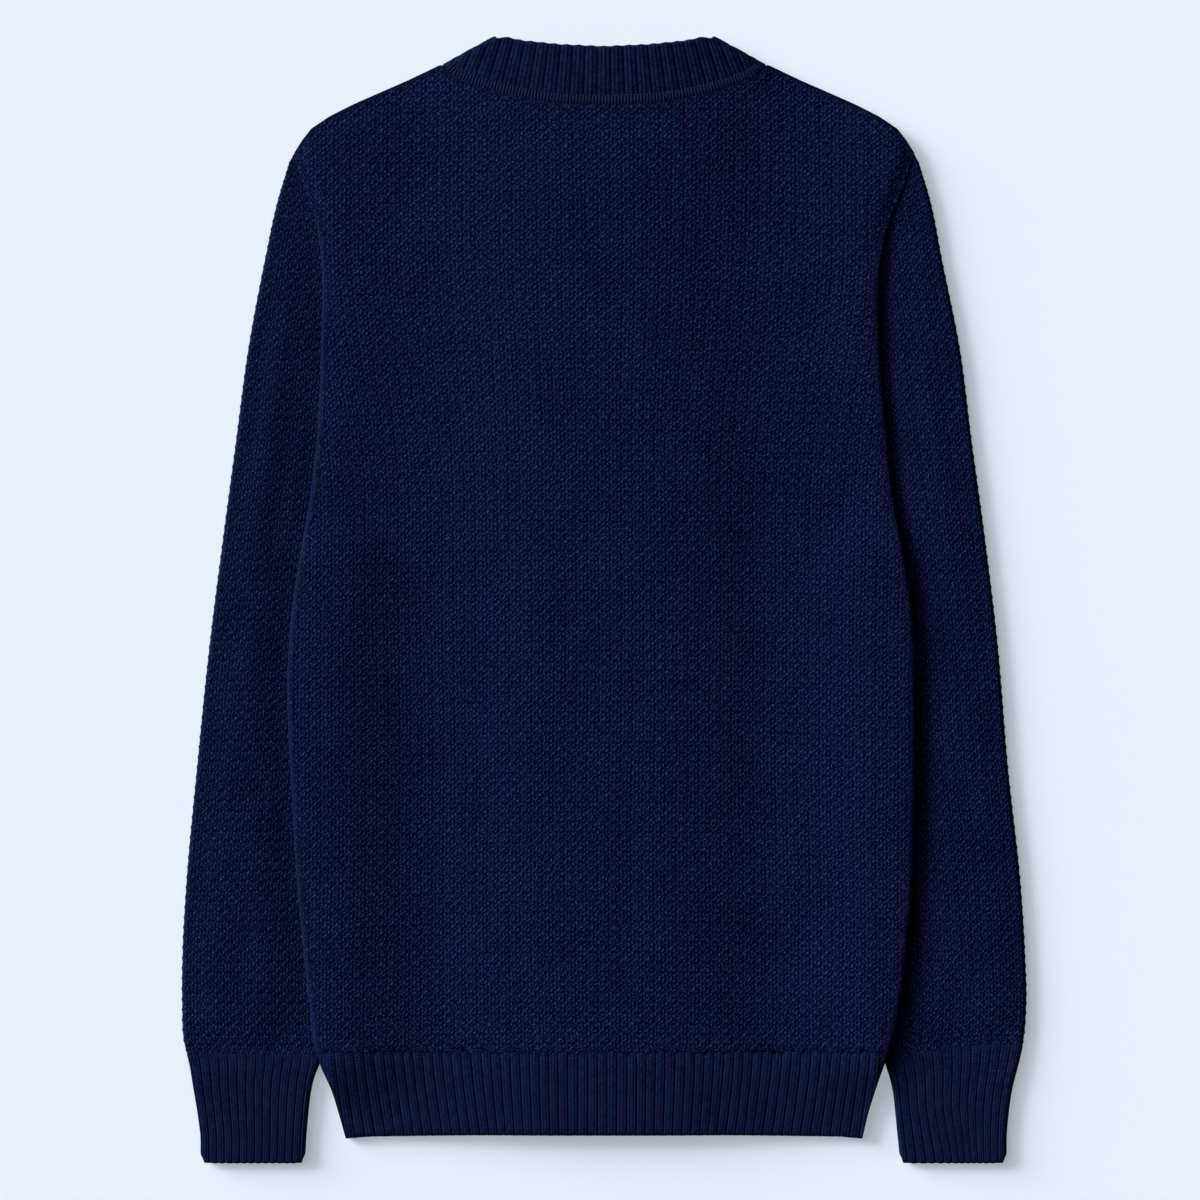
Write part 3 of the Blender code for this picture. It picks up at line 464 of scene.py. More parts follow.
@dataclass(frozen=True)
class Outline:
    """The four edges of a panel in plan, and the corners where they meet.

    Attributes:
        left: x of the left edge at y.
        right: x of the right edge at y.
        top: y of the top edge at x.
        bottom: y of the bottom edge at x.
        corners: the places at the top left, top right, bottom left and bottom right.
    """

    left: PlanLine
    right: PlanLine
    top: PlanLine
    bottom: PlanLine
    corners: tuple[tuple[float, float], ...]

    def inside(self, x: Array, y: Array, inset: tuple[float, float, float]) -> Array:
        """Which places are inside the outline moved in at its sides, top and bottom."""
        side, top, bottom = inset
        held = (x > self.left(y) + side) & (x < self.right(y) - side)
        return held & (y < self.top(x) - top) & (y > self.bottom(x) + bottom)

    def walk(self, step: float, inset: tuple[float, float, float]) -> Array:
        """Places points round the outline, moved in, from the bottom left corner clockwise.

        Args:
            step: about the distance between points; it doesn't depend on the inset.
            inset: how far in, at the sides, the top and the bottom.

        Returns:
            (n, 2) places.
        """
        side, top, bottom = inset
        (x0, y0), (x1, y1), (x2, y2), (x3, y3) = self.corners

        def steps(start: float, end: float, first: float, last: float) -> Array:
            """Even places from start to end, without the last."""
            count = max(2, round(abs(last - first) / step))
            return np.linspace(start, end, count, endpoint=False)

        up = steps(y2 + bottom, y0 - top, y2, y0)
        across = steps(x0 + side, x1 - side, x0, x1)
        down = steps(y1 - top, y3 + bottom, y1, y3)
        home = steps(x3 - side, x2 + side, x3, x2)
        return np.concatenate([
            np.stack([self.left(up) + side, up], -1), np.stack([across, self.top(across) - top], -1),
            np.stack([self.right(down) - side, down], -1), np.stack([home, self.bottom(home) + bottom], -1),
        ])


def whole_cells(inside: Array) -> Array:
    """Keeps the cells with all four corners inside, and no two that only touch at a corner."""
    cells = inside[:-1, :-1] & inside[1:, :-1] & inside[1:, 1:] & inside[:-1, 1:]
    while True:
        a, b, c, d = cells[:-1, :-1], cells[:-1, 1:], cells[1:, :-1], cells[1:, 1:]
        falling = a & d & ~b & ~c
        rising = b & c & ~a & ~d
        if not (falling.any() or rising.any()):
            return cells
        cells[:-1, :-1] &= ~falling
        cells[:-1, 1:] &= ~rising


def rim_of(cells: Array, start: tuple[int, int]) -> tuple[Array, Array]:
    """Walks clockwise round the rim of a patch of cells.

    Args:
        cells: which cells the patch has.
        start: a lattice place on its rim.

    Returns:
        Rows and columns of the lattice places on the rim.
    """
    framed = np.pad(cells, 1)
    rows, columns = cells.shape
    follow: dict[tuple[int, int], tuple[int, int]] = {}
    for (di, dj), first, last in (
        ((-1, 0), (0, 0), (0, 1)), ((0, 1), (0, 1), (1, 1)), ((1, 0), (1, 1), (1, 0)), ((0, -1), (1, 0), (0, 0)),
    ):
        beyond = framed[1 + di:1 + di + rows, 1 + dj:1 + dj + columns]
        for i, j in zip(*(index.tolist() for index in np.nonzero(cells & ~beyond))):
            follow[i + first[0], j + first[1]] = (i + last[0], j + last[1])
    way = [min(follow, key=lambda place: (place[0] - start[0]) ** 2 + (place[1] - start[1]) ** 2)]
    while follow[way[-1]] != way[0]:
        way.append(follow[way[-1]])
    found = np.array(way)
    return found[:, 0], found[:, 1]


def in_space(plan: Array, z: Array) -> Array:
    """Joins places in plan with their heights."""
    return np.concatenate([plan, np.asarray(z, float)[..., None]], axis=-1)


@dataclass(frozen=True)
class Panel:
    """A textured panel: a stitch lattice cut to an outline, as a closed wall.

    Attributes:
        outline: its edges.
        face: height of its right side.
        rear: height of its wrong side.
        looks: which way its right side looks.
        inset: width of the smooth edge stitch at the sides, and of the top and bottom seams.
        relief: how far the stitches are raised.
        edge_profile: (share of the way out to the edge, share of the wall) across the edge stitch.
        margin: least distance from the stitches to the edge stitch.
        step: distance between points along the edge.
        knit: width and height of a stitch repeat at the edge, and y of the first course.
        plain_below: y below which the side edges are a plain smooth stitch.
    """

    outline: Outline
    face: PlanHeight
    rear: PlanHeight
    looks: Face
    inset: tuple[float, float, float] = (2.8, 0.7, 0.5)
    relief: float = 0.6
    edge_profile: tuple[tuple[float, float], ...] = ((0.3, 1.06), (0.6, 1.02), (0.84, 0.8), (1.0, 0.4))
    margin: float = 0.25
    step: float = 1.9
    knit: tuple[float, float, float] = (7.5, 6.6, 358.0)
    plain_below: float = 262.0

    def lattice(self, skin: Skin, x: Array, y: Array, z: Array, stitch: Array, relief: Array,
                inset: tuple[float, float, float]) -> Array:
        """Adds the cells of a lattice that lie inside the outline.

        Args:
            skin: the wall to add to.
            x: x of each lattice place.
            y: y of each lattice place.
            z: height of each.
            stitch: place of each in the knit.
            relief: relief of each.
            inset: how far inside the outline it stays.

        Returns:
            Numbers of the points round its rim, clockwise from the bottom left.
        """
        cells = whole_cells(self.outline.inside(x, y, inset))
        used = np.zeros(x.shape, bool)
        for pick in np.ndindex(2, 2):
            used[pick[0]:x.shape[0] - 1 + pick[0], pick[1]:x.shape[1] - 1 + pick[1]] |= cells
        ids = np.full(x.shape, -1)
        ids[used] = skin.add(np.stack([x, y, z], -1)[used], stitch[used], relief[used])
        skin.patch(ids, stitch, cells)
        corner = self.outline.corners[2]
        away = np.where(used, np.square(x - corner[0]) + np.square(y - corner[1]), np.inf)
        start = np.unravel_index(away.argmin(), x.shape)
        return ids[rim_of(cells, (int(start[0]), int(start[1])))]

    def skin(self, x: Array, y: Array, stitch: Array, stride: int) -> Skin:
        """Builds the wall from a stitch lattice.

        Args:
            x: x of each lattice place.
            y: y of each lattice place.
            stitch: places in the knit.
            stride: lattice places for each one of the plain wrong side.

        Returns:
            The closed skin.
        """
        skin = Skin()
        side_in, top_in, bottom_in = self.inset
        depth = np.minimum(x - self.outline.left(y), self.outline.right(y) - x)
        seam = np.minimum(y - self.outline.bottom(x), self.outline.top(x) - y)
        raised = self.relief * ease((depth - side_in) / 2.5) * (0.15 + 0.85 * ease(seam / 5.0))
        low = 0.55 if self.looks is Face.UP else 1.0
        relief = np.stack([raised, np.full_like(raised, low)], axis=-1)
        held = tuple(width + self.margin for width in self.inset)
        last = self.lattice(skin, x, y, self.face(x, y), stitch, relief, held)
        start = self.outline.walk(self.step, self.inset)
        way = self.outline.walk(self.step, (0.0, 0.0, 0.0)) - start
        rings = []
        for share, wall in ((0.0, 1.0), *self.edge_profile, (0.72, 0.0)):
            plan = start + way * share
            low_z = self.rear(plan[:, 0], plan[:, 1])
            high_z = self.face(plan[:, 0], plan[:, 1])
            place = np.stack([plan[:, 0] / self.knit[0], (self.knit[2] - plan[:, 1]) / self.knit[1]], -1)
            plain = np.zeros((len(plan), 3))
            beside = np.minimum(start[:, 0] - self.outline.left(start[:, 1]), self.outline.right(start[:, 1]) - start[:, 0])
            plain[:, 2] = (beside < side_in + 0.5) * ease((self.plain_below - plan[:, 1]) / 50.0) * ease(share / 0.3)
            # The plain strip's share of the flat edge colour is larger on the left edge, which faces the lamp, than on
            # the right: partly a painted highlight on the left strip.
            plain[:, 2] *= np.where(plan[:, 0] < 0, 0.65, 0.4)
            seam_wall = np.where(way[:, 1] < 0, 0.96, min(wall, 0.92)) if wall else 0.0
            held = np.where(beside < side_in + 0.5, wall, seam_wall)
            rings.append(skin.add(in_space(plan, low_z + (high_z - low_z) * held), place, plain))
        skin.zip(last, rings[0])
        skin.ring(np.stack(rings))
        pick = (slice(None, None, stride), slice(None, None, stride))
        x, y, stitch = x[pick], y[pick], stitch[pick]
        held = (side_in + 1.5, top_in + 1.5, bottom_in + 1.5)
        rear = self.lattice(skin, x, y, self.rear(x, y), stitch, np.zeros((*x.shape, 2)), held)
        skin.zip(rings[-1], rear)
        return skin

    def area(self) -> float:
        """Area of the cut panel, in square metres."""
        y = np.linspace(self.outline.corners[2][1], max(c[1] for c in self.outline.corners[:2]) + 60.0, 500)
        x = np.linspace(-230.0, 230.0, 700)
        grid_x, grid_y = np.meshgrid(x, y)
        held = self.outline.inside(grid_x, grid_y, (0.0, 0.0, 0.0))
        return float(held.sum() * (x[1] - x[0]) * (y[1] - y[0])) * MM * MM


# -------------------------------------------------------------------------------------- node trees

Socket = bpy.types.NodeSocket
Value = Socket | float | tuple[float, float, float]


class Wires:
    """Adds nodes to a shader or geometry tree and joins them."""

    def __init__(self, tree: bpy.types.NodeTree) -> None:
        """Keeps the tree."""
        self.tree = tree

    def node(self, kind: str, **settings: object) -> bpy.types.Node:
        """Adds a node and sets its properties."""
        node = self.tree.nodes.new(kind)
        for key, value in settings.items():
            setattr(node, key, value)
        return node

    def feed(self, node: bpy.types.Node, sockets: dict[int | str, Value]) -> bpy.types.Node:
        """Joins or sets inputs of a node, by place or name."""
        for key, value in sockets.items():
            if isinstance(value, bpy.types.NodeSocket):
                self.tree.links.new(value, node.inputs[key])
            else:
                node.inputs[key].default_value = value
        return node

    def math(self, operation: str, *values: Value, clamp: bool = False) -> Socket:
        """A Math node's result."""
        node = self.node("ShaderNodeMath", operation=operation, use_clamp=clamp)
        return self.feed(node, dict(enumerate(values))).outputs[0]

    def vector(self, operation: str, *values: Value) -> Socket:
        """A Vector Math node's vector."""
        node = self.node("ShaderNodeVectorMath", operation=operation)
        return self.feed(node, dict(enumerate(values))).outputs["Vector"]

    def length(self, vector: Socket) -> Socket:
        """Length of a vector."""
        node = self.node("ShaderNodeVectorMath", operation="LENGTH")
        return self.feed(node, {0: vector}).outputs["Value"]

    def turned(self, vector: Socket, degrees: float) -> Socket:
        """A vector turned about Z."""
        node = self.node("ShaderNodeVectorRotate", rotation_type="Z_AXIS")
        return self.feed(node, {"Vector": vector, "Angle": math.radians(degrees)}).outputs["Vector"]

    def parts(self, vector: Socket) -> tuple[Socket, Socket, Socket]:
        """X, Y and Z of a vector."""
        node = self.feed(self.node("ShaderNodeSeparateXYZ"), {0: vector})
        return node.outputs[0], node.outputs[1], node.outputs[2]

    def joined(self, x: Value, y: Value, z: Value = 0.0) -> Socket:
        """A vector from its parts."""
        return self.feed(self.node("ShaderNodeCombineXYZ"), {0: x, 1: y, 2: z}).outputs[0]

    def ramp(self, value: Socket, low: float, high: float, start: float = 0.0, end: float = 1.0) -> Socket:
        """Maps low..high smoothly to start..end."""
        node = self.node("ShaderNodeMapRange", interpolation_type="SMOOTHSTEP")
        feeds = {"Value": value, "From Min": low, "From Max": high, "To Min": start, "To Max": end}
        return self.feed(node, feeds).outputs["Result"]

    def noise(self, vector: Socket, scale: float, detail: float, rough: float = 0.5) -> Socket:
        """Noise between 0 and 1."""
        node = self.node("ShaderNodeTexNoise", noise_dimensions="3D")
        feeds = {"Vector": vector, "Scale": scale, "Detail": detail, "Roughness": rough}
        return self.feed(node, feeds).outputs[0]


@dataclass(frozen=True)
class Grain:
    """One raised stretch of yarn in the repeat of the textured stitch.

    Attributes:
        across: its place across the repeat, as a share.
        down: its place down the repeat.
        lean: degrees that its upper end leans to the right.
        length: half its length.
        width: half its width.
        height: how far it stands up, as a share of the tallest.
    """

    across: float
    down: float
    lean: float
    length: float
    width: float
    height: float


@dataclass(frozen=True)
class SeedStitch:
    """The textured stitch: its repeat, and the yarn that stands up in it."""

    repeat: tuple[float, float] = (7.3, 6.6)
    middle: float = 0.30
    depth: float = 1.3
    grains: tuple[Grain, ...] = (
        Grain(0.0, 0.0, 30.0, 1.9, 1.1, 1.0),
        Grain(0.287, 0.18, 10.0, 1.55, 1.0, 0.95),
        Grain(0.615, 0.49, -25.0, 1.8, 1.05, 1.0),
        Grain(0.338, 0.665, -15.0, 1.5, 1.0, 0.92),
        Grain(0.916, 0.633, 20.0, 1.3, 0.85, 0.75),
        Grain(0.662, 0.855, 70.0, 1.2, 0.85, 0.75),
        Grain(0.735, 0.157, 60.0, 1.2, 0.85, 0.75),
    )
    hollows: tuple[Grain, ...] = (
        Grain(0.127, 0.07, 42.0, 1.5, 0.75, 0.9),
        Grain(0.262, 0.867, 80.0, 1.2, 0.75, 0.8),
        Grain(0.49, 0.19, 0.0, 1.8, 0.8, 0.7),
        Grain(0.207, 0.43, 75.0, 1.5, 0.8, 0.9),
        Grain(0.516, 0.69, -38.0, 1.7, 0.8, 1.0),
        Grain(0.79, 0.43, -25.0, 1.5, 0.8, 1.0),
        Grain(0.87, 0.87, -30.0, 1.2, 0.7, 0.8),
    )

    def peaks(self, wires: Wires, stitch: Socket, grains: tuple[Grain, ...]) -> Socket:
        """Adds the nodes for the highest of some grains at each place.

        Args:
            wires: the tree.
            stitch: place in the knit; one unit is one repeat, and it grows down the garment.
            grains: the grains.

        Returns:
            A socket with the height, between 0 and 1.
        """
        total: Socket | None = None
        size = (*self.repeat, 1.0)
        half = (-self.repeat[0] / 2, -self.repeat[1] / 2, 0.0)
        for grain in grains:
            place = wires.vector("ADD", stitch, (0.5 - grain.across, 0.5 - grain.down, 0.0))
            place = wires.vector("FRACTION", place)
            place = wires.vector("MULTIPLY_ADD", place, size, half)
            place = wires.turned(place, -grain.lean)
            shape = (1.0 / grain.width, 1.0 / grain.length, 0.0)
            reach = wires.length(wires.vector("MULTIPLY", place, shape))
            bump = wires.ramp(reach, 0.0, 1.0, grain.height, 0.0)
            total = bump if total is None else wires.math("MAXIMUM", total, bump)
        return total

    def height(self, wires: Wires, stitch: Socket) -> Socket:
        """Height of the stitch: yarn that stands up, its middle level, and the hollows beside it."""
        up = self.peaks(wires, stitch, self.grains)
        if not self.hollows:
            return up
        down = self.peaks(wires, stitch, self.hollows)
        raised = wires.math("MULTIPLY_ADD", up, 1.0 - self.middle, self.middle)
        return wires.math("SUBTRACT", raised, wires.math("MULTIPLY", down, self.middle * self.depth), clamp=True)


@dataclass(frozen=True)
class RibStitch:
    """The ribs: raised wales with a narrow groove between them."""

    groove: float = 0.085
    wales: float = 3.0
    course: float = 1.9
    fade: float = 9.0

    def height(self, wires: Wires, across: Socket) -> Socket:
        """Height of the rib, 0 in the groove and 1 on its crest; across counts ribs."""
        place = wires.math("FRACT", across)
        off = wires.math("ABSOLUTE", wires.math("SUBTRACT", place, 0.5))
        inward = wires.math("SUBTRACT", 0.5, off)
        wall = wires.ramp(inward, 0.01, self.groove, 0.0, 0.82)
        crown = wires.ramp(inward, self.groove, 0.5, 0.0, 0.18)
        return wires.math("ADD", wall, crown)


SEED = SeedStitch()
SEED_WAVES = SeedStitch(hollows=(), grains=(
    Grain(0.0, 0.0, 30.0, 2.1, 1.8, 1.0), Grain(0.27, 0.22, 12.0, 1.6, 1.6, 0.7),
    Grain(0.625, 0.5, -25.0, 2.2, 1.9, 1.0), Grain(0.27, 0.72, -18.0, 1.6, 1.6, 0.7),
))
RIB = RibStitch()


class Texture(Enum):
    """Which stitch raises a piece."""

    SEED = "seed"
    RIB = "rib"


def relief_tree(texture: Texture) -> bpy.types.NodeTree:
    """Builds the Geometry Nodes tree that raises the stitches or ribs of a skin.

    Args:
        texture: the stitch.

    Returns:
        The tree, with inputs Geometry, Strength and Material.
    """
    tree = bpy.data.node_groups.new(f"raise_{texture.value}", "GeometryNodeTree")
    tree.interface.new_socket("Geometry", in_out="INPUT", socket_type="NodeSocketGeometry")
    tree.interface.new_socket("Strength", in_out="INPUT", socket_type="NodeSocketFloat")
    tree.interface.new_socket("Material", in_out="INPUT", socket_type="NodeSocketMaterial")
    tree.interface.new_socket("Geometry", in_out="OUTPUT", socket_type="NodeSocketGeometry")
    wires = Wires(tree)
    given = wires.node("NodeGroupInput")
    stitch = wires.node("GeometryNodeInputNamedAttribute", data_type="FLOAT_VECTOR")
    stitch.inputs["Name"].default_value = "stitch_at"
    relief = wires.node("GeometryNodeInputNamedAttribute", data_type="FLOAT_VECTOR")
    relief.inputs["Name"].default_value = "relief"
    amount, level, _ = wires.parts(relief.outputs["Attribute"])
    if texture is Texture.SEED:
        height = SEED_WAVES.height(wires, stitch.outputs["Attribute"])
    else:
        height = RIB.height(wires, wires.parts(stitch.outputs["Attribute"])[0])
    push = wires.math("MULTIPLY", wires.math("SUBTRACT", height, level), amount)
    push = wires.math("MULTIPLY", push, given.outputs["Strength"])
    normal = wires.node("GeometryNodeInputNormal")
    scale = wires.node("ShaderNodeVectorMath", operation="SCALE")
    wires.feed(scale, {0: normal.outputs[0], "Scale": push})
    moved = wires.node("GeometryNodeSetPosition")
    wires.feed(moved, {"Geometry": given.outputs["Geometry"], "Offset": scale.outputs["Vector"]})
    real = wires.feed(wires.node("GeometryNodeRealizeInstances"), {"Geometry": moved.outputs[0]})
    dressed = wires.node("GeometryNodeSetMaterial")
    wires.feed(dressed, {"Geometry": real.outputs[0], "Material": given.outputs["Material"]})
    out = wires.node("NodeGroupOutput")
    wires.feed(out, {"Geometry": dressed.outputs[0]})
    return tree


def apply_tree(
    piece: bpy.types.Object, tree: bpy.types.NodeTree, values: dict[str, object], name: str
) -> bpy.types.Object:
    """Runs a Geometry Nodes tree on an object and keeps the result as a plain mesh.

    Args:
        piece: the object; it is removed.
        tree: the tree.
        values: the tree's inputs, by name.
        name: name of the finished object.

    Returns:
        The finished object.
    """
    modifier = piece.modifiers.new("make", "NODES")
    modifier.node_group = tree
    sockets = {item.name: item.identifier for item in tree.interface.items_tree if item.in_out == "INPUT"}
    for label, value in values.items():
        modifier[sockets[label]] = value
    graph = bpy.context.evaluated_depsgraph_get()
    mesh = bpy.data.meshes.new_from_object(piece.evaluated_get(graph))
    piece.modifiers.remove(modifier)
    old = piece.data
    bpy.data.objects.remove(piece, do_unlink=True)
    if isinstance(old, bpy.types.Mesh):
        bpy.data.meshes.remove(old)
    mesh.name = name
    made = bpy.data.objects.new(name, mesh)
    bpy.context.scene.collection.objects.link(made)
    return made


def new_object(name: str, mesh: bpy.types.Mesh) -> bpy.types.Object:
    """Links a mesh as an object at the origin."""
    made = bpy.data.objects.new(name, mesh)
    bpy.context.scene.collection.objects.link(made)
    return made


# ---------------------------------------------------------------------------------------- finishes

def group_tree(name: str, inputs: dict[str, str], outputs: dict[str, str]) -> tuple[bpy.types.NodeTree, Wires]:
    """Starts a shader node group.

    Args:
        name: its name.
        inputs: socket names and types.
        outputs: socket names and types.

    Returns:
        The tree and its wires, with nodes named "in" and "out".
    """
    tree = bpy.data.node_groups.new(name, "ShaderNodeTree")
    for where, sockets in (("INPUT", inputs), ("OUTPUT", outputs)):
        for label, kind in sockets.items():
            tree.interface.new_socket(label, in_out=where, socket_type=f"NodeSocket{kind}")
    wires = Wires(tree)
    wires.node("NodeGroupInput", name="in")
    wires.node("NodeGroupOutput", name="out")
    return tree, wires


def yarn_group() -> bpy.types.NodeTree:
    """Builds the group that gives the yarn's own grain: fine fibres and slow unevenness of its dye."""
    tree, wires = group_tree("yarn", {"Vector": "Vector"}, {"Fibre": "Float", "Dye": "Float"})
    vector = tree.nodes["in"].outputs["Vector"]
    fibre = wires.noise(vector, 2600.0, 2.0, 0.6)
    dye = wires.noise(vector, 34.0, 2.0)
    wires.feed(tree.nodes["out"], {"Fibre": fibre, "Dye": dye})
    return tree


def seed_group() -> bpy.types.NodeTree:
    """Builds the group that gives the textured stitch's height and its shaded hollows."""
    tree, wires = group_tree("seed_stitch", {"Stitch": "Vector"}, {"Height": "Float", "Light": "Float", "Tone": "Float"})
    stitch = tree.nodes["in"].outputs["Stitch"]
    jolt = wires.node("ShaderNodeTexNoise", noise_dimensions="3D")
    wires.feed(jolt, {"Vector": stitch, "Scale": 2.7, "Detail": 1.0})
    jolt = wires.vector("SUBTRACT", jolt.outputs["Color"], (0.5, 0.5, 0.5))
    stitch = wires.vector("MULTIPLY_ADD", jolt, (0.42, 0.40, 0.0), stitch)
    height = SEED.height(wires, stitch)
    # Painted light: the share is low in the hollows, a painted shade, and high on the raised grains, a painted
    # highlight.
    light = wires.math("MULTIPLY_ADD", wires.ramp(height, 0.0, 1.0), 0.98, 0.02)
    tone = wires.ramp(wires.noise(stitch, 3.4, 1.0), 0.3, 0.7, 0.6, 1.35)
    wires.feed(tree.nodes["out"], {"Height": height, "Light": light, "Tone": tone})
    return tree


def rib_group() -> bpy.types.NodeTree:
    """Builds the group that gives the smooth wales of a rib, stitch by stitch, and its grooves."""
    tree, wires = group_tree("rib_stitch", {"Stitch": "Vector"}, {"Height": "Float", "Light": "Float", "Tone": "Float"})
    across, along, _ = wires.parts(tree.nodes["in"].outputs["Stitch"])
    rib = RIB.height(wires, across)
    strands = wires.math("MULTIPLY", across, RIB.wales)
    off = wires.math("ABSOLUTE", wires.math("SUBTRACT", wires.math("FRACT", strands), 0.5))
    strand = wires.ramp(off, 0.12, 0.5, 1.0, 0.25)
    slant = wires.math("ADD", wires.math("DIVIDE", along, RIB.course), wires.math("MULTIPLY", off, 1.6))
    course = wires.math("ABSOLUTE", wires.math("SUBTRACT", wires.math("FRACT", slant), 0.5))
    loop = wires.ramp(course, 0.08, 0.5, 1.0, 0.1)
    speck = wires.node("ShaderNodeTexWhiteNoise", noise_dimensions="2D")
    wires.feed(speck, {"Vector": wires.joined(wires.math("FLOOR", strands), wires.math("FLOOR", slant))})
    uneven = wires.ramp(speck.outputs["Value"], 0.0, 1.0, 0.5, 1.5)
    height = wires.math("MULTIPLY", wires.math("MULTIPLY", strand, loop), rib)
    shown = wires.ramp(along, 0.0, RIB.fade, 0.3, 1.0)
    # Painted shade in the grooves, weaker where the rib begins.
    groove = wires.math("MULTIPLY", wires.math("SUBTRACT", 1.0, wires.ramp(rib, 0.05, 0.7)), shown)
    flat = wires.math("SUBTRACT", 1.0, groove)
    # Painted shade between the wales' strands and between the loops, with a random unevenness from stitch to stitch;
    # the share is the groove shade times this.
    yarn = wires.math("MULTIPLY_ADD", wires.math("MULTIPLY", wires.math("MULTIPLY", strand, loop), uneven), 0.9, 0.1)
    light = wires.math("MULTIPLY", flat, yarn)
    blotch = wires.noise(wires.joined(across, along), 0.7, 2.0)
    tone = wires.ramp(blotch, 0.3, 0.7, 0.94, 1.06)
    wires.feed(tree.nodes["out"], {"Height": height, "Light": light, "Tone": tone})
    return tree


@dataclass(frozen=True)
class KnitFinish:
    """Dyed yarn, knitted.

    Attributes:
        name: the material's name.
        texture: its stitch.
        deep: colour in the hollows and grooves, a painted shade.
        lit: colour on the yarn's crests, the navy with a painted whitish highlight.
        bump: how strongly the fine stitches stand up.
        edge_light: how light the plain edge stitch is, between deep (0) and lit (1).
        from_object: the pattern follows the piece's place, with this rib pitch in metres, not its map.
    """

    name: str
    texture: Texture
    deep: tuple[float, float, float, float]
    lit: tuple[float, float, float, float]
    bump: float = 0.8
    edge_light: float = 0.36
    from_object: float | None = None

    def build(self, groups: dict[str, bpy.types.NodeTree]) -> bpy.types.Material:
        """Makes the material from the shared node groups."""
        material = bpy.data.materials.new(self.name)
        material.use_nodes = True
        tree = material.node_tree
        wires = Wires(tree)
        shader = tree.nodes["Principled BSDF"]
        coords = wires.node("ShaderNodeTexCoord")
        if self.from_object is None:
            stitch = wires.node("ShaderNodeUVMap", uv_map="stitch").outputs["UV"]
        else:
            mapping = wires.node("ShaderNodeMapping")
            mapping.inputs["Scale"].default_value = (1.0 / self.from_object, 1.0 / MM, 1.0)
            mapping.inputs["Location"].default_value = (0.0, 400.0, 0.0)
            wires.feed(mapping, {"Vector": coords.outputs["Object"]})
            stitch = mapping.outputs["Vector"]
        yarn = wires.node("ShaderNodeGroup", node_tree=groups["yarn"])
        wires.feed(yarn, {"Vector": coords.outputs["Object"]})
        knit = wires.node("ShaderNodeGroup", node_tree=groups[self.texture.value])
        wires.feed(knit, {"Stitch": stitch})
        fleck = wires.ramp(yarn.outputs["Fibre"], 0.3, 0.7, 0.72, 1.28)
        dye = wires.ramp(yarn.outputs["Dye"], 0.25, 0.75, 0.88, 1.12)
        edge = wires.parts(wires.node("ShaderNodeAttribute", attribute_name="relief").outputs["Vector"])[2]
        # Painted light: the Light share puts a painted shade in the hollows and grooves and a painted highlight on the
        # crests; Tone varies it at random.
        light = wires.math("MULTIPLY", knit.outputs["Light"], knit.outputs["Tone"])
        light = wires.math("ADD", light, wires.math("MULTIPLY", edge, wires.math("SUBTRACT", self.edge_light, light)))
        light = wires.math("MULTIPLY", light, wires.math("MULTIPLY", fleck, dye), clamp=True)
        # Mixes the painted shade colour and the crest colour with its painted highlight by that share, after fibre and
        # dye vary it.
        colour = wires.node("ShaderNodeMix", data_type="RGBA")
        wires.feed(colour, {0: light, 6: self.deep, 7: self.lit})
        wires.feed(shader, {"Base Color": colour.outputs[2]})
        rough = wires.ramp(yarn.outputs["Fibre"], 0.2, 0.8, 0.62, 0.82)
        wires.feed(shader, {"Roughness": rough})
        shader.inputs["Specular IOR Level"].default_value = 0.015
        shader.inputs["Sheen Weight"].default_value = 0.01
        shader.inputs["Sheen Roughness"].default_value = 0.45
        shader.inputs["Sheen Tint"].default_value = (0.30, 0.38, 0.85, 1.0)
        fine = wires.math("MULTIPLY", wires.math("SUBTRACT", yarn.outputs["Fibre"], 0.5), 0.18)
        bump = wires.node("ShaderNodeBump")
        bump.inputs["Strength"].default_value = self.bump
        bump.inputs["Distance"].default_value = 0.9 * MM
        height = wires.math("MULTIPLY", knit.outputs["Height"], wires.math("SUBTRACT", 1.0, edge))
        wires.feed(bump, {"Height": wires.math("ADD", height, fine)})
        wires.feed(shader, {"Normal": bump.outputs[0]})
        return material


@dataclass(frozen=True)
class YarnFinish:
    """One strand of the same yarn, for sewing and linking."""

    name: str
    # The thread's darker and paler fibres, mixed at random by the fibre noise.
    deep: tuple[float, float, float, float]
    lit: tuple[float, float, float, float]

    def build(self, groups: dict[str, bpy.types.NodeTree]) -> bpy.types.Material:
        """Makes the material."""
        material = bpy.data.materials.new(self.name)
        material.use_nodes = True
        wires = Wires(material.node_tree)
        shader = material.node_tree.nodes["Principled BSDF"]
        yarn = wires.node("ShaderNodeGroup", node_tree=groups["yarn"])
        wires.feed(yarn, {"Vector": wires.node("ShaderNodeTexCoord").outputs["Object"]})
        colour = wires.node("ShaderNodeMix", data_type="RGBA")
        wires.feed(colour, {0: wires.ramp(yarn.outputs["Fibre"], 0.25, 0.75), 6: self.deep, 7: self.lit})
        wires.feed(shader, {"Base Color": colour.outputs[2]})
        shader.inputs["Roughness"].default_value = 0.75
        shader.inputs["Specular IOR Level"].default_value = 0.04
        return material


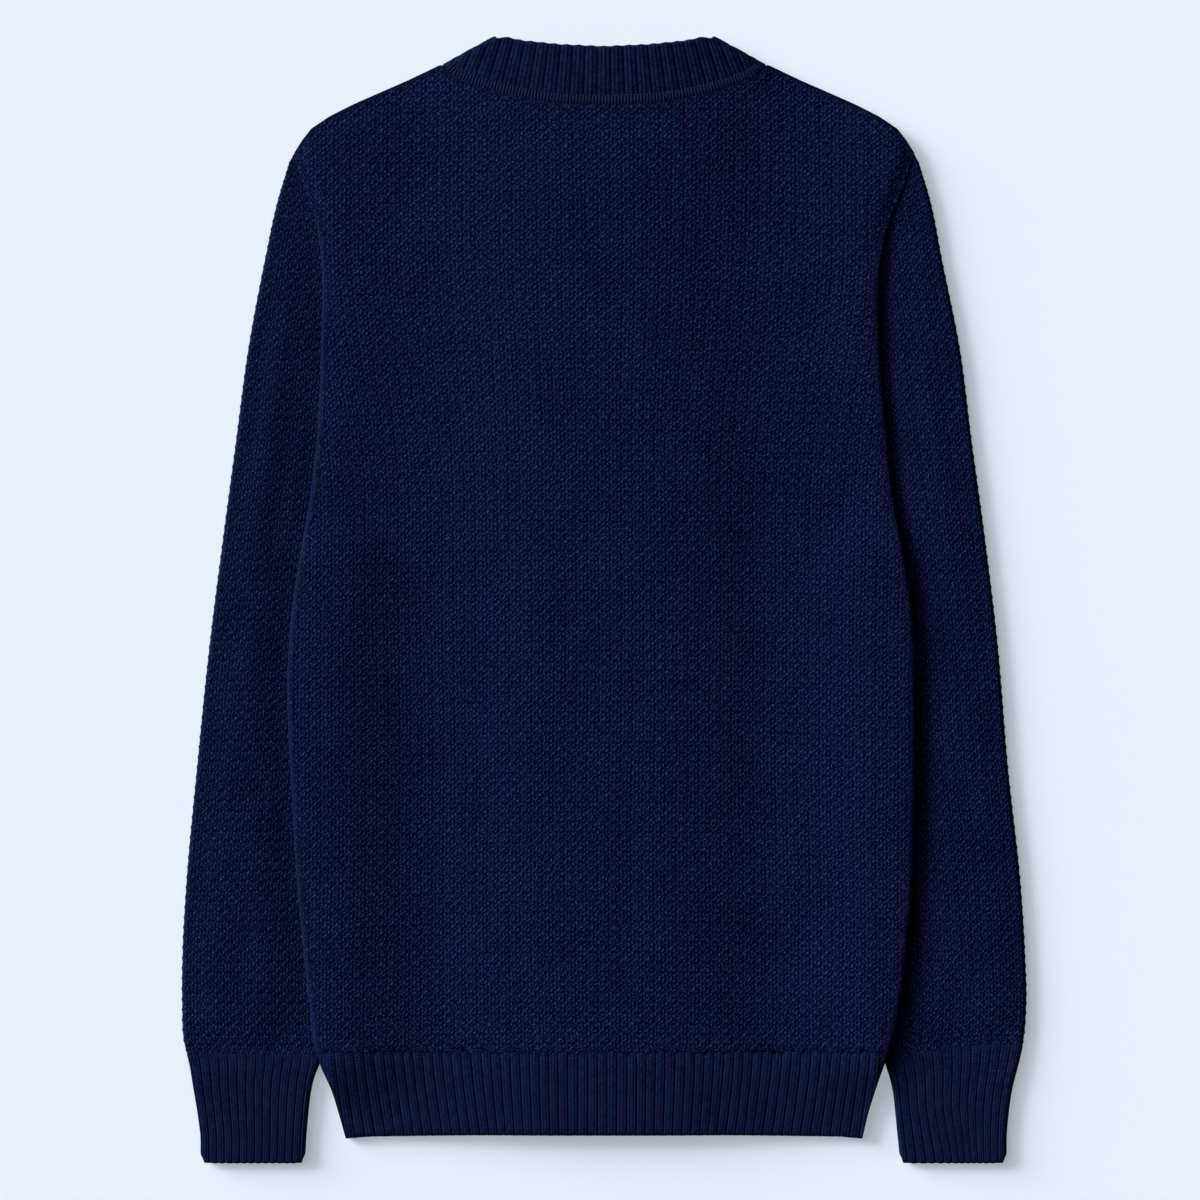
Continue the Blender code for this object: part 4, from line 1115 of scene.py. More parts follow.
@dataclass(frozen=True)
class HornFinish:
    """Dyed horn-like buttons: satin, with faint cloudy streaks."""

    name: str = "button_horn"
    dark: tuple[float, float, float, float] = (0.006, 0.008, 0.018, 1.0)
    pale: tuple[float, float, float, float] = (0.035, 0.036, 0.05, 1.0)

    def build(self) -> bpy.types.Material:
        """Makes the material."""
        material = bpy.data.materials.new(self.name)
        material.use_nodes = True
        wires = Wires(material.node_tree)
        shader = material.node_tree.nodes["Principled BSDF"]
        coords = wires.node("ShaderNodeTexCoord")
        place = wires.vector("MULTIPLY", coords.outputs["Object"], (1.0, 0.35, 1.0))
        cloud = wires.noise(place, 260.0, 4.0, 0.6)
        colour = wires.node("ShaderNodeMix", data_type="RGBA")
        wires.feed(colour, {0: wires.ramp(cloud, 0.35, 0.75), 6: self.dark, 7: self.pale})
        wires.feed(shader, {"Base Color": colour.outputs[2]})
        wires.feed(shader, {"Roughness": wires.ramp(cloud, 0.2, 0.8, 0.28, 0.42)})
        return material


# -------------------------------------------------------------------------------- pieces of cloth

LATTICE_STEP = 0.25


def stitch_rows(top: float, bottom: float, course: float) -> tuple[Array, Array]:
    """Heights of the lattice's rows down the garment, and their places in the knit."""
    places = np.arange(0.0, (top - bottom) / course + LATTICE_STEP, LATTICE_STEP)
    return top - places * course, places


@dataclass
class BodyPanels:
    """The back and the two fronts, knitted in the textured stitch.

    Attributes:
        lie: the garment's sizes.
        wide_repeat: width of a repeat at the shoulders.
        repeat: width of a repeat from the chest down.
        course: height of a repeat.
        wander: how far the wales and courses wander.
    """

    lie: Lie
    wide_repeat: float = 8.1
    repeat: float = 7.3
    course: float = 6.6
    wander: float = 0.9

    def scallop(self, x: Array) -> Array:
        """The seam with the hem rib: each rib's end pokes up into the stitches above."""
        ribs = HEM_RIBS.count_at(x, self.lie)
        uneven = 0.6 * np.sin(ribs * 2.4) + 0.5 * np.sin(ribs * 0.9 + 1.0)
        return self.lie.rib_line + 1.1 * np.cos(2 * np.pi * (ribs - 0.5)) + uneven

    def back_top(self, x: Array) -> Array:
        """The back's upper edge: the neck seam between the shoulders."""
        neck = NECK_SEAM.at(x) + 0.2
        return np.where(np.abs(x) < self.lie.neck_half, neck, SHOULDER.at(x))

    def back_form(self, x: Array, y: Array) -> Array:
        """How far the back's right side stands off its even wall: edges, seams and creases."""
        lie = self.lie
        left = -BODY_EDGE.at(y, Side.LEFT)
        right = BODY_EDGE.at(y, Side.RIGHT)
        inward = np.where(x < 0, left, right) - np.abs(x)
        near = ease((12.0 - inward) / 12.0)
        sink = 1.9 * ease((y - 205.0) / 70.0) * near
        below = ease((250.0 - y) / 60.0) * ease((330.0 + y) / 30.0)
        swell = np.where(x < 0, -0.3, 0.5) * ease((42.0 - inward) / 36.0)
        turn = np.where(x < 0, 1.1, 0.9) * np.clip(1.0 - inward / np.where(x < 0, 15.0, 7.0), 0.0, 1.0) ** 2
        bead = (swell - turn) * below
        shoulder = 1.0 * ease((22.0 - (SHOULDER.at(x) - y)) / 22.0) * (np.abs(x) > lie.neck_half)
        return bead - sink - shoulder + creases_at(BACK_CREASES, x, y)

    def back_face(self, x: Array, y: Array) -> Array:
        """Height of the back's right side, before its stitches."""
        return self.lie.back(x, y) + self.lie.cloth + self.back_form(x, y)

    def back(self) -> tuple[Skin, float]:
        """Builds the back; returns its skin and its area."""
        lie = self.lie
        outline = Outline(
            left=lambda y: BODY_EDGE.at(y, Side.LEFT),
            right=lambda y: BODY_EDGE.at(y, Side.RIGHT),
            top=self.back_top,
            bottom=self.scallop,
            corners=(
                (-204.3, 294.0), (204.3, 294.0),
                (float(BODY_EDGE.at(lie.rib_line, Side.LEFT)), lie.rib_line),
                (float(BODY_EDGE.at(lie.rib_line, Side.RIGHT)), lie.rib_line),
            ),
        )
        panel = Panel(outline, self.back_face, lie.back, Face.UP, relief=0.42)
        rows, courses = stitch_rows(358.0, lie.rib_line - 8.0, self.course)
        wales = np.arange(-31.0, 31.0 + LATTICE_STEP, LATTICE_STEP)
        pitch = self.repeat + (self.wide_repeat - self.repeat) * ease((rows - 60.0) / 180.0)
        x = wales[None, :] * pitch[:, None]
        y = rows[:, None] - 5.0 * (x / 200.0) ** 2
        x = x + self.wander * sway(x, y, 1.0)
        y = y + self.wander * sway(y, x, 2.0)
        stitch = np.stack(np.broadcast_arrays(wales[None, :], courses[:, None]), axis=-1)
        return panel.skin(x, y, stitch, 5), panel.area()

    def front(self, side: Side) -> tuple[Skin, float]:
        """Builds one front, face down; returns its skin and its area."""
        lie = self.lie
        sign = float(side.value)
        band = lie.band_width / 2 + lie.seam_gap

        def outer(y: Array) -> Array:
            """The armhole seam, then the body's side."""
            seam = SLEEVE_INNER.at(y, side) - sign * (lie.seam_gap + 0.1)
            return seam + (BODY_EDGE.at(y, side) - seam) * lie.below_underarm(y - 16.0)

        def inner(y: Array) -> Array:
            """The front band's side."""
            return sign * band + 0.0 * np.asarray(y, float)

        def top(x: Array) -> Array:
            """The shoulder and the round neck."""
            half = lie.neck_half + lie.seam_gap
            reach = np.clip(np.abs(x) / half, 0.0, 1.0)
            neck = lie.neck_point_y - (lie.front_neck_drop + lie.seam_gap) * np.sqrt(1.0 - reach ** 2)
            return np.where(np.abs(x) < half, neck, SHOULDER.at(x))

        corner_x = float(outer(np.array(lie.seam_top)))
        tip = (corner_x, float(SHOULDER.at(corner_x)))
        neck = (sign * band, float(top(np.array(band))))
        hem = (float(BODY_EDGE.at(lie.rib_line, side)), lie.rib_line)
        foot = (sign * band, lie.rib_line)
        if side is Side.LEFT:
            edges, corners = (outer, inner), (tip, neck, hem, foot)
        else:
            edges, corners = (inner, outer), (neck, tip, foot, hem)
        outline = Outline(*edges, top, lambda x: lie.rib_line + 0.0 * np.asarray(x, float), corners)

        def level(x: Array, y: Array) -> Array:
            """The right side's height; past the sleeve's edge it lies on the sleeve from the underarm down."""
            past = ease((np.abs(x) - np.abs(SLEEVE_INNER.at(y, side))) / 3.0)
            sooner = lie.below_underarm(y - 32.0) - lie.below_underarm(y)
            return lie.front(x, y, side) + (lie.tube + lie.seam_gap) * sooner * past

        def face(x: Array, y: Array) -> Array:
            """The right side with its creases, which lies on the floor where the front does."""
            return np.maximum(level(x, y) - creases_at(FRONT_CREASES, x, y), 0.0)

        def rear(x: Array, y: Array) -> Array:
            """The wrong side."""
            return level(x, y) + lie.cloth

        panel = Panel(outline, face, rear, Face.DOWN, relief=0.55)
        rows, courses = stitch_rows(356.0, lie.rib_line - 6.0, self.course)
        first, last = (-29.5, -1.0) if side is Side.LEFT else (1.0, 29.5)
        wales = np.arange(first, last + LATTICE_STEP, LATTICE_STEP)
        x = wales[None, :] * self.repeat + 0.0 * rows[:, None]
        y = rows[:, None] + 0.0 * x
        x = x + self.wander * sway(x, y, 3.0 + side.value)
        y = y + self.wander * sway(y, x, 5.0 + side.value)
        stitch = np.stack(np.broadcast_arrays(wales[None, :], courses[:, None]), axis=-1)
        return panel.skin(x, y, stitch, 5), panel.area()


@dataclass(frozen=True)
class RibSpacing:
    """Where ribs run across a width: equal ribs between two plain edge stitches.

    Attributes:
        count: number of ribs.
        start: share of the width before the first rib.
        end: share of the width at the last rib's end.
        phases: places of the points across one rib.
    """

    count: int
    start: float
    end: float
    phases: tuple[float, ...] = (0.0, 0.05, 0.1, 0.17, 0.3, 0.5, 0.7, 0.83, 0.9, 0.95)

    def shares(self) -> tuple[Array, Array]:
        """Shares of the width at each point, and the rib number there."""
        ribs = np.concatenate([k + np.array(self.phases) for k in range(self.count)] + [[float(self.count)]])
        return self.start + (self.end - self.start) * ribs / self.count, ribs

    def count_at(self, x: Array, lie: Lie) -> Array:
        """Number of ribs to the left of x on the hem's upper edge."""
        left = BODY_EDGE.at(lie.rib_line, Side.LEFT)
        right = BODY_EDGE.at(lie.rib_line, Side.RIGHT)
        share = (x - left) / (right - left)
        return np.clip((share - self.start) / (self.end - self.start), 0.0, 1.0) * self.count


HEM_RIBS = RibSpacing(57, 0.016, 0.984)


def closed_grid(skin: Skin, outer: Array, inner: Array) -> None:
    """Joins an outer and a coarser inner grid of points round their four edges."""
    chains = []
    for ids in (outer, inner):
        chains.append(np.concatenate([ids[::-1, 0], ids[0, 1:], ids[1:, -1], ids[-1, -2:0:-1]]))
    skin.zip(*chains)


@dataclass
class HemRibs:
    """The ribbed hem, in one stretch on the back and one on each front.

    Attributes:
        lie: the garment's sizes.
        groove: wall in a groove.
        crest: how far a rib stands above it.
        lean: how far the ribs run inwards from top to bottom, at most.
        lean_from: distance from the centre at which they run in that far.
    """

    lie: Lie
    groove: float = 1.9
    crest: float = 0.72
    lean: float = 6.6
    lean_from: float = 105.0

    def rows(self) -> Array:
        """Distances down from the rib line, close together at both ends."""
        depth = self.lie.rib_line - self.lie.hem
        return np.concatenate([
            [0.0, 0.5, 1.4, 2.6, 4.2], np.linspace(7.0, depth - 7.0, 13), depth - np.array([4.5, 2.6, 1.3, 0.4, 0.0]),
        ])

    def wall(self, rows: Array) -> Array:
        """Share of the wall at each row, rounded at the free edge."""
        left = self.lie.rib_line - self.lie.hem - rows
        free = np.interp(left, [0.0, 0.4, 1.3, 2.6], [0.35, 0.7, 0.95, 1.0])
        return free * (1.0 + 0.26 * (1.0 - ease(rows / 9.0)))

    def stretch(self, left: PlanLine, right: PlanLine, ribs: RibSpacing, face: Face, lift: PlanHeight,
                top: PlanLine, form: PlanHeight | None = None) -> Skin:
        """Builds one stretch of hem.

        Args:
            left: x of its left edge at y.
            right: x of its right edge at y.
            ribs: its ribs.
            face: which way its ribs look.
            lift: height of its underside.
            top: y of its upper edge at x.
            form: how far the panel above stands off its even wall.

        Returns:
            The closed skin.
        """
        lie = self.lie
        skin = Skin()
        share, number = ribs.shares()
        plain = np.array([0.0, 0.25, 0.6])
        share = np.concatenate([plain * ribs.start, share, 1.0 - (1.0 - ribs.end) * plain[::-1]])
        number = np.concatenate([number[0] - (1 - plain), number, number[-1] + (1 - plain[::-1])])
        rows = self.rows()
        depth = lie.rib_line - lie.hem
        level = lie.rib_line - rows
        x_left = left(level)[:, None]
        x_right = right(level)[:, None]
        x = x_left[:1] + (x_right[:1] - x_left[:1]) * share[None, :]
        inward = -self.lean * np.sign(x) * ease(np.abs(x) / self.lean_from)
        x = x + inward * (rows[:, None] / depth) ** 1.3
        order = np.arange(len(share))[None, :]
        x = np.clip(x, x_left + 0.03 * order, x_right - 0.03 * order[:, ::-1])
        stray = 0.9 * np.sin(number[None, :] / 5.3 + 0.7) * (rows[:, None] / depth) + 0.45 * sway(6.0 * x, level[:, None], 1.3)
        x = x + stray * np.minimum(1.0, 9.0 * np.minimum(share, 1.0 - share))[None, :]
        down = rows[:, None] / depth
        upper = top(x[0]) - 0.12
        from_corner = 1.0 - np.abs(x[-1]) / np.abs(x[-1]).max()
        foot = lie.hem + lie.hem_rise * (0.45 * ease(from_corner / 0.1) + 0.55 * ease(from_corner / 0.6))
        foot = foot + 0.35 * (1.0 - np.cos(2 * np.pi * number[None, :])) * (share > 0.02) * (share < 0.98)
        y = upper[None, :] + (foot - upper[None, :]) * down
        edge = np.minimum(share * (x_right[0] - x_left[0]), (1.0 - share) * (x_right[0] - x_left[0]))
        round_side = np.interp(edge, [0.0, 0.9, 2.2], [0.4, 0.85, 1.0])
        wall = np.minimum(self.wall(rows)[:, None], round_side[None, :])
        under = lift(x, y)
        inside = (number > 0) & (number < ribs.count)
        rise = (0.3 + 0.7 * ease(rows / 9.0)) * ease(rows / 1.5) * ease((depth - rows + 1.2) / 3.0)
        raised = self.crest * rise[:, None] * inside[None, :]
        if face is Face.UP:
            z = under + self.groove * wall
            if form is not None:
                z = z + form(x, y[:1] + 0.0 * y) * (1.0 - ease(rows / 40.0))[:, None]
            inner_z = under
            level_share = 0.0
        else:
            z = under + lie.cloth * (1.0 - wall)
            inner_z = under + lie.cloth
            level_share = 1.0
        stitch = np.stack(np.broadcast_arrays(number[None, :], rows[:, None]), axis=-1)
        relief = np.stack([raised, np.full_like(raised, level_share)], axis=-1)
        outer = skin.add(in_space(np.stack([x, y], -1), z), stitch, relief)
        skin.patch(outer)
        rows_at = [0, 3, 6, 10, 14, 18, len(rows) - 1]
        columns_at = np.unique(np.concatenate([[0, 2], np.arange(3, len(share) - 3, 20), [len(share) - 3, len(share) - 1]]))
        pick = np.ix_(rows_at, columns_at)
        inner = skin.add(in_space(np.stack([x[pick], y[pick]], -1), inner_z[pick]), stitch[pick], np.zeros(2))
        skin.patch(inner)
        closed_grid(skin, outer, inner)
        return skin

    def back(self, body: BodyPanels) -> Skin:
        """Builds the back's hem, below the body's back."""
        return self.stretch(
            lambda y: BODY_EDGE.at(y, Side.LEFT), lambda y: BODY_EDGE.at(y, Side.RIGHT),
            HEM_RIBS, Face.UP, self.lie.back, body.scallop, body.back_form,
        )

    def front(self, side: Side) -> Skin:
        """Builds one front's hem."""
        lie = self.lie
        band = lie.band_width / 2 + lie.seam_gap
        outer = lambda y: BODY_EDGE.at(y, side)
        inner = lambda y: side.value * band + 0.0 * np.asarray(y, float)
        edges = (outer, inner) if side is Side.LEFT else (inner, outer)
        lift = lambda x, y: lie.front(x, y, side)
        return self.stretch(
            *edges, RibSpacing(25, 0.02, 0.98), Face.DOWN, lift, lambda x: lie.rib_line + 0.0 * x
        )


# ------------------------------------------------------------------------------------ flat tubes

@dataclass
class FlatTube:
    """A tube of cloth that lies flat.

    Attributes:
        inner: (rows, 2) place of the inner guide at each row.
        outer: (rows, 2) place of the outer guide.
        closed: whether each row goes all the way round.
        fold: radius of a fold's outer face.
    """

    inner: Array
    outer: Array
    closed: Array
    fold: float

    def width(self) -> Array:
        """Flat width of each row."""
        return np.linalg.norm(self.outer - self.inner, axis=1)

    def half_girth(self, reach: float | Array) -> Array:
        """Distance from the outer fold's middle to the inner end, along one layer."""
        flat = self.width() - 2 * self.fold
        return np.pi * reach / 2 + flat + np.where(self.closed, np.pi * reach / 2, self.fold)

    def place(self, around: Array, reach: float | Array) -> tuple[Array, Array]:
        """Places points round the tube.

        Args:
            around: (rows, n) distance from the outer fold's middle, below 0 on the upper layer.
            reach: radius of this skin's folds.

        Returns:
            The points, and the distance of each from the outer guide.
        """
        width = self.width()[:, None]
        reach = np.broadcast_to(np.asarray(reach, float), (len(width),))[:, None]
        quarter = np.pi * reach / 2
        far = np.abs(around)
        over = np.where(around < 0, 1.0, -1.0)
        flat = width - 2 * self.fold
        turn = np.clip(far, 0.0, quarter) / reach
        run = np.clip(far - quarter, 0.0, np.where(self.closed[:, None], flat, flat + self.fold))
        back = np.where(self.closed[:, None], np.clip(far - quarter - flat, 0.0, quarter) / reach, 0.0)
        from_outer = self.fold - reach * np.cos(turn) + run + reach * np.sin(back)
        height = self.fold + over * reach * np.sin(turn) * np.cos(back)
        along = (self.inner - self.outer) / width
        plan = self.outer[:, None, :] + along[:, None, :] * from_outer[..., None]
        return in_space(plan, height), from_outer


@dataclass
class Sleeves:
    """The two sleeves, each a flat tube that is slit along the armhole, and their cuffs.

    Attributes:
        lie: the garment's sizes.
        repeat: width of a stitch repeat.
        course: its height.
        relief: how far the stitches stand up.
        crown: fullness in the middle of the sleeve.
        cuff_line: outer and inner end of each cuff's seam.
        cuff_ribs: ribs all round a cuff.
        rib_crest: how far a cuff's ribs stand up.
        bow: how far the cuff's seam is bowed.
        valley: how far the sleeve dips beside the body.
    """

    lie: Lie
    repeat: float = 6.7
    course: float = 6.6
    relief: float = 0.55
    crown: float = 1.2
    cuff_line: dict[Side, tuple[float, float]] = field(
        default_factory=lambda: {Side.LEFT: (-299.2, -299.2), Side.RIGHT: (-293.7, -306.2)}
    )
    cuff_ribs: int = 29
    rib_crest: float = 0.75
    bow: dict[Side, float] = field(default_factory=lambda: {Side.LEFT: 0.0, Side.RIGHT: 5.0})
    valley: dict[Side, float] = field(default_factory=lambda: {Side.LEFT: 0.7, Side.RIGHT: 2.4})

    def bowed(self, side: Side, across: Array, share: Array) -> Array:
        """How far a row is bowed towards the neck, across the sleeve from its outer fold."""
        return self.bow[side] * 4.0 * across * (1.0 - np.clip(across, 0.0, 1.0)) * share

    def crowned(self, from_outer: Array, width: Array, share: Array | float) -> Array:
        """Height that the upper layer's fullness adds."""
        return self.crown * ease((width - from_outer - 20.0) / 22.0) * ease(from_outer / 25.0) * share

    def guides(self, side: Side) -> tuple[Array, Array, Array, Array]:
        """Inner and outer guide of each lattice row, whether it is closed, and its course."""
        lie = self.lie
        length = lie.seam_top - lie.rib_line
        courses = np.arange(0.0, length / self.course, LATTICE_STEP)
        share = np.append(courses / (length / self.course), 1.0)
        inner_y = lie.seam_top - length * share
        outer_y = inner_y - 11.0 * (1.0 - ease(share / 0.12))
        end = ease((share - 0.86) / 0.14)
        outer_y = outer_y + (self.cuff_line[side][0] - lie.rib_line) * end
        inner_at = inner_y + (self.cuff_line[side][1] - lie.rib_line) * end
        inner = np.stack([SLEEVE_INNER.at(inner_at, side), inner_at], axis=-1)
        outer = np.stack([SLEEVE_OUTER.at(outer_y, side), outer_y], axis=-1)
        return inner, outer, inner_y <= lie.underarm, np.append(courses, length / self.course)

    def sleeve(self, side: Side) -> tuple[Skin, float]:
        """Builds one sleeve; returns its skin and the area of its cut."""
        skin = Skin()
        inner, outer, closed, courses = self.guides(side)
        tube = FlatTube(inner, outer, closed, self.lie.tube / 2)
        half = tube.half_girth(tube.fold)
        step = self.repeat * LATTICE_STEP
        reach = math.ceil(half.max() / step) + 1
        around = np.arange(-reach, reach + 1) * step
        around = around[None, :] + 0.0 * half[:, None]
        held = np.clip(around, -half[:, None], half[:, None])
        width = tube.width()[:, None]
        points, from_outer = tube.place(held, tube.fold)
        upper = ease(0.5 - held / (np.pi * tube.fold))
        lift = self.crowned(from_outer, width, upper)
        lift = lift + upper * creases_at(SLEEVE_CREASES, points[..., 0], points[..., 1])
        past = np.abs(points[..., 0]) - side.value * BODY_EDGE.at(points[..., 1], side)
        valley = self.valley[side] * (1.0 - ease(past / 15.0)) * ease((262.0 - points[..., 1]) / 60.0)
        lift = lift - valley * ease((points[..., 1] + 296.0) / 12.0) * upper
        lift = lift * ease((courses[-1] - courses) * self.course / 30.0)[:, None]
        points[..., 2] += np.where(upper > 0.5, lift, 0.0)
        points[..., 1] += self.bowed(side, from_outer / width, ease((courses / courses[-1] - 0.86) / 0.14)[:, None])
        raised = self.relief * ease((half[:, None] - np.abs(around)) / 3.0 + 0.3)
        raised = raised * (0.85 + 0.15 * ease((np.abs(around) - 1.5) / 6.0))
        level = 1.0 - 0.45 * upper
        stitch = np.stack([held / self.repeat, np.broadcast_to(courses[:, None], held.shape)], axis=-1)
        margin = 0.35 * step
        west = around < -half[:, None] + margin
        east = around > half[:, None] - margin
        kept = ~(west | east)
        ids = np.full(held.shape, -1)
        numbers = skin.add(points[kept], stitch[kept], np.stack([raised, level], -1)[kept])
        ids[kept] = numbers
        rows = np.arange(len(half))
        end_points, _ = tube.place(np.stack([-half, half], axis=-1), tube.fold)
        end_stitch = np.stack([np.stack([-half, half], -1) / self.repeat, np.stack([courses] * 2, -1)], -1)
        upper_end = skin.add(end_points[:, 0], end_stitch[:, 0], np.zeros(2))
        lower_end = upper_end.copy()
        lower_end[~closed] = skin.add(end_points[~closed, 1], end_stitch[~closed, 1], np.zeros(2))
        ids = np.where(west, upper_end[:, None], np.where(east, lower_end[:, None], ids))
        skin.patch(ids, stitch)
        slit = int((~closed).sum())
        inside_rows = np.unique(np.concatenate([np.arange(0, slit - 1, 12), [slit - 1, slit], np.arange(slit + 12, len(rows) - 6, 12), [len(rows) - 1]]))
        tube_in = FlatTube(inner[inside_rows], outer[inside_rows], closed[inside_rows], tube.fold)
        small = 0.15
        half_in = tube_in.half_girth(small)
        share = np.concatenate([-np.linspace(1.0, 0.0, 13), np.linspace(0.0, 1.0, 13)[1:]])
        inside, inside_out = tube_in.place(share[None, :] * half_in[:, None], small)
        inside[..., 2] += np.where(share < 0, self.crowned(inside_out, tube_in.width()[:, None], 1.0), 0.0)
        inner_ids = skin.add(inside, np.zeros(2), np.zeros(2))
        shut = tube_in.closed
        inner_ids[shut, -1] = inner_ids[shut, 0]
        skin.patch(inner_ids)
        open_in = int((~shut).sum())
        for grid, slits, low in ((ids, slit, (upper_end, lower_end)), ):
            outer_lips = np.concatenate([
                low[0][slits:slits + 1], low[0][slits - 1::-1], ids[0][kept[0]], low[1][:slits],
            ])
            outer_ring = np.concatenate([low[0][-1:], ids[-1][kept[-1]]])
        inner_lips = np.concatenate([
            inner_ids[open_in:open_in + 1, 0], inner_ids[open_in - 1::-1, 0],
            inner_ids[0, 1:-1], inner_ids[:open_in, -1],
        ])
        skin.zip(outer_lips, inner_lips, by_length=True)
        skin.zip(outer_ring, inner_ids[-1, :-1], by_length=True)
        area = 2.0 * float(np.trapz(tube.width(), -inner[:, 1])) * MM * MM
        return skin, area

    def cuff(self, side: Side) -> tuple[Skin, float]:
        """Builds one cuff; returns its skin and the area of its cut."""
        lie = self.lie
        skin = Skin()
        top_outer, top_inner = (y - 0.12 for y in self.cuff_line[side])
        down = np.concatenate([[0.0, 0.008, 0.022, 0.04, 0.065], np.linspace(0.11, 0.93, 15), [0.965, 0.985, 0.996, 1.0]])
        outer_y = top_outer + (lie.cuff_end - top_outer) * down
        inner_y = top_inner + (lie.cuff_end - top_inner) * down
        inner = np.stack([SLEEVE_INNER.at(inner_y, side), inner_y], axis=-1)
        outer = np.stack([SLEEVE_OUTER.at(outer_y, side), outer_y], axis=-1)
        tube = FlatTube(inner, outer, np.ones(len(down), bool), lie.tube / 2)
        reach = tube.fold - np.interp(1.0 - down, [0.0, 0.004, 0.015, 0.035], [1.1, 0.55, 0.15, 0.0])
        half = tube.half_girth(reach)
        ribs = RibSpacing(self.cuff_ribs, 0.0, 1.0)
        share, number = ribs.shares()
        share = share[:-1]
        number = number[:-1]
        around = (2.0 * share[None, :] - 1.0) * half[:, None]
        swing = 5.5 * ease((down - 0.35) / 0.65)[:, None] * np.exp(-(((np.abs(share) - 0.2) / 0.15) ** 2))
        curl = 2.2 * (1.0 - ease(down / 0.35))[:, None] * np.exp(-((share / 0.16) ** 2))
        around = around + (swing if side is Side.RIGHT else curl) * (share > 0.0) * np.minimum(1.0, share / 0.03)
        points, from_outer = tube.place(around, reach)
        width = tube.width()[:, None]
        near = np.maximum(0.0, 1.0 - np.minimum(from_outer, width - from_outer) / 8.5)
        points[..., 1] += self.bowed(side, from_outer / width, (1.0 - ease(down / 0.5))[:, None])
        rounding = 5.0 * ease((down - 0.6) / 0.4)[:, None] * near ** 2
        points[..., 1] += rounding
        upper = ease(0.5 - around / (np.pi * tube.fold))
        points[..., 1] += 0.35 * (np.cos(2 * np.pi * number) + 0.4)[None, :] * ease((down - 0.9) / 0.1)[:, None]
        points[..., 1] = np.maximum(points[..., 1], lie.cuff_end)
        raised = self.rib_crest * ((0.3 + 0.7 * ease(down / 0.13)) * ease(down / 0.02) * ease((1.02 - down) / 0.045))[:, None] * np.ones_like(around)
        relief = np.stack([raised, 1.0 - 0.45 * upper], axis=-1)
        along = down * (lie.rib_line - lie.cuff_end)
        stitch = np.stack(np.broadcast_arrays(number[None, :], along[:, None]), axis=-1)
        ids = skin.add(points, stitch, relief)
        wrapped = np.concatenate([stitch, stitch[:, :1] + np.array([float(self.cuff_ribs), 0.0])], axis=1)
        skin.patch(np.concatenate([ids, ids[:, :1]], axis=1), wrapped)
        picked = np.array([0, 4, 8, 12, 16, len(down) - 4, len(down) - 1])
        small = lie.ply_gap / 2
        tube_in = FlatTube(inner[picked], outer[picked], np.ones(len(picked), bool), tube.fold)
        half_in = tube_in.half_girth(small)
        turn = np.linspace(-1.0, 1.0, 33)[:-1]
        inside, _ = tube_in.place(turn[None, :] * half_in[:, None], small)
        inner_ids = skin.add(inside, np.zeros(2), np.zeros(2))
        skin.ring(inner_ids)
        skin.zip(ids[0], inner_ids[0], by_length=True)
        skin.zip(ids[-1], inner_ids[-1], by_length=True)
        area = 2.0 * float(np.trapz(tube.width(), -inner[:, 1])) * MM * MM
        return skin, area


# --------------------------------------------------------------------------------------- neckband

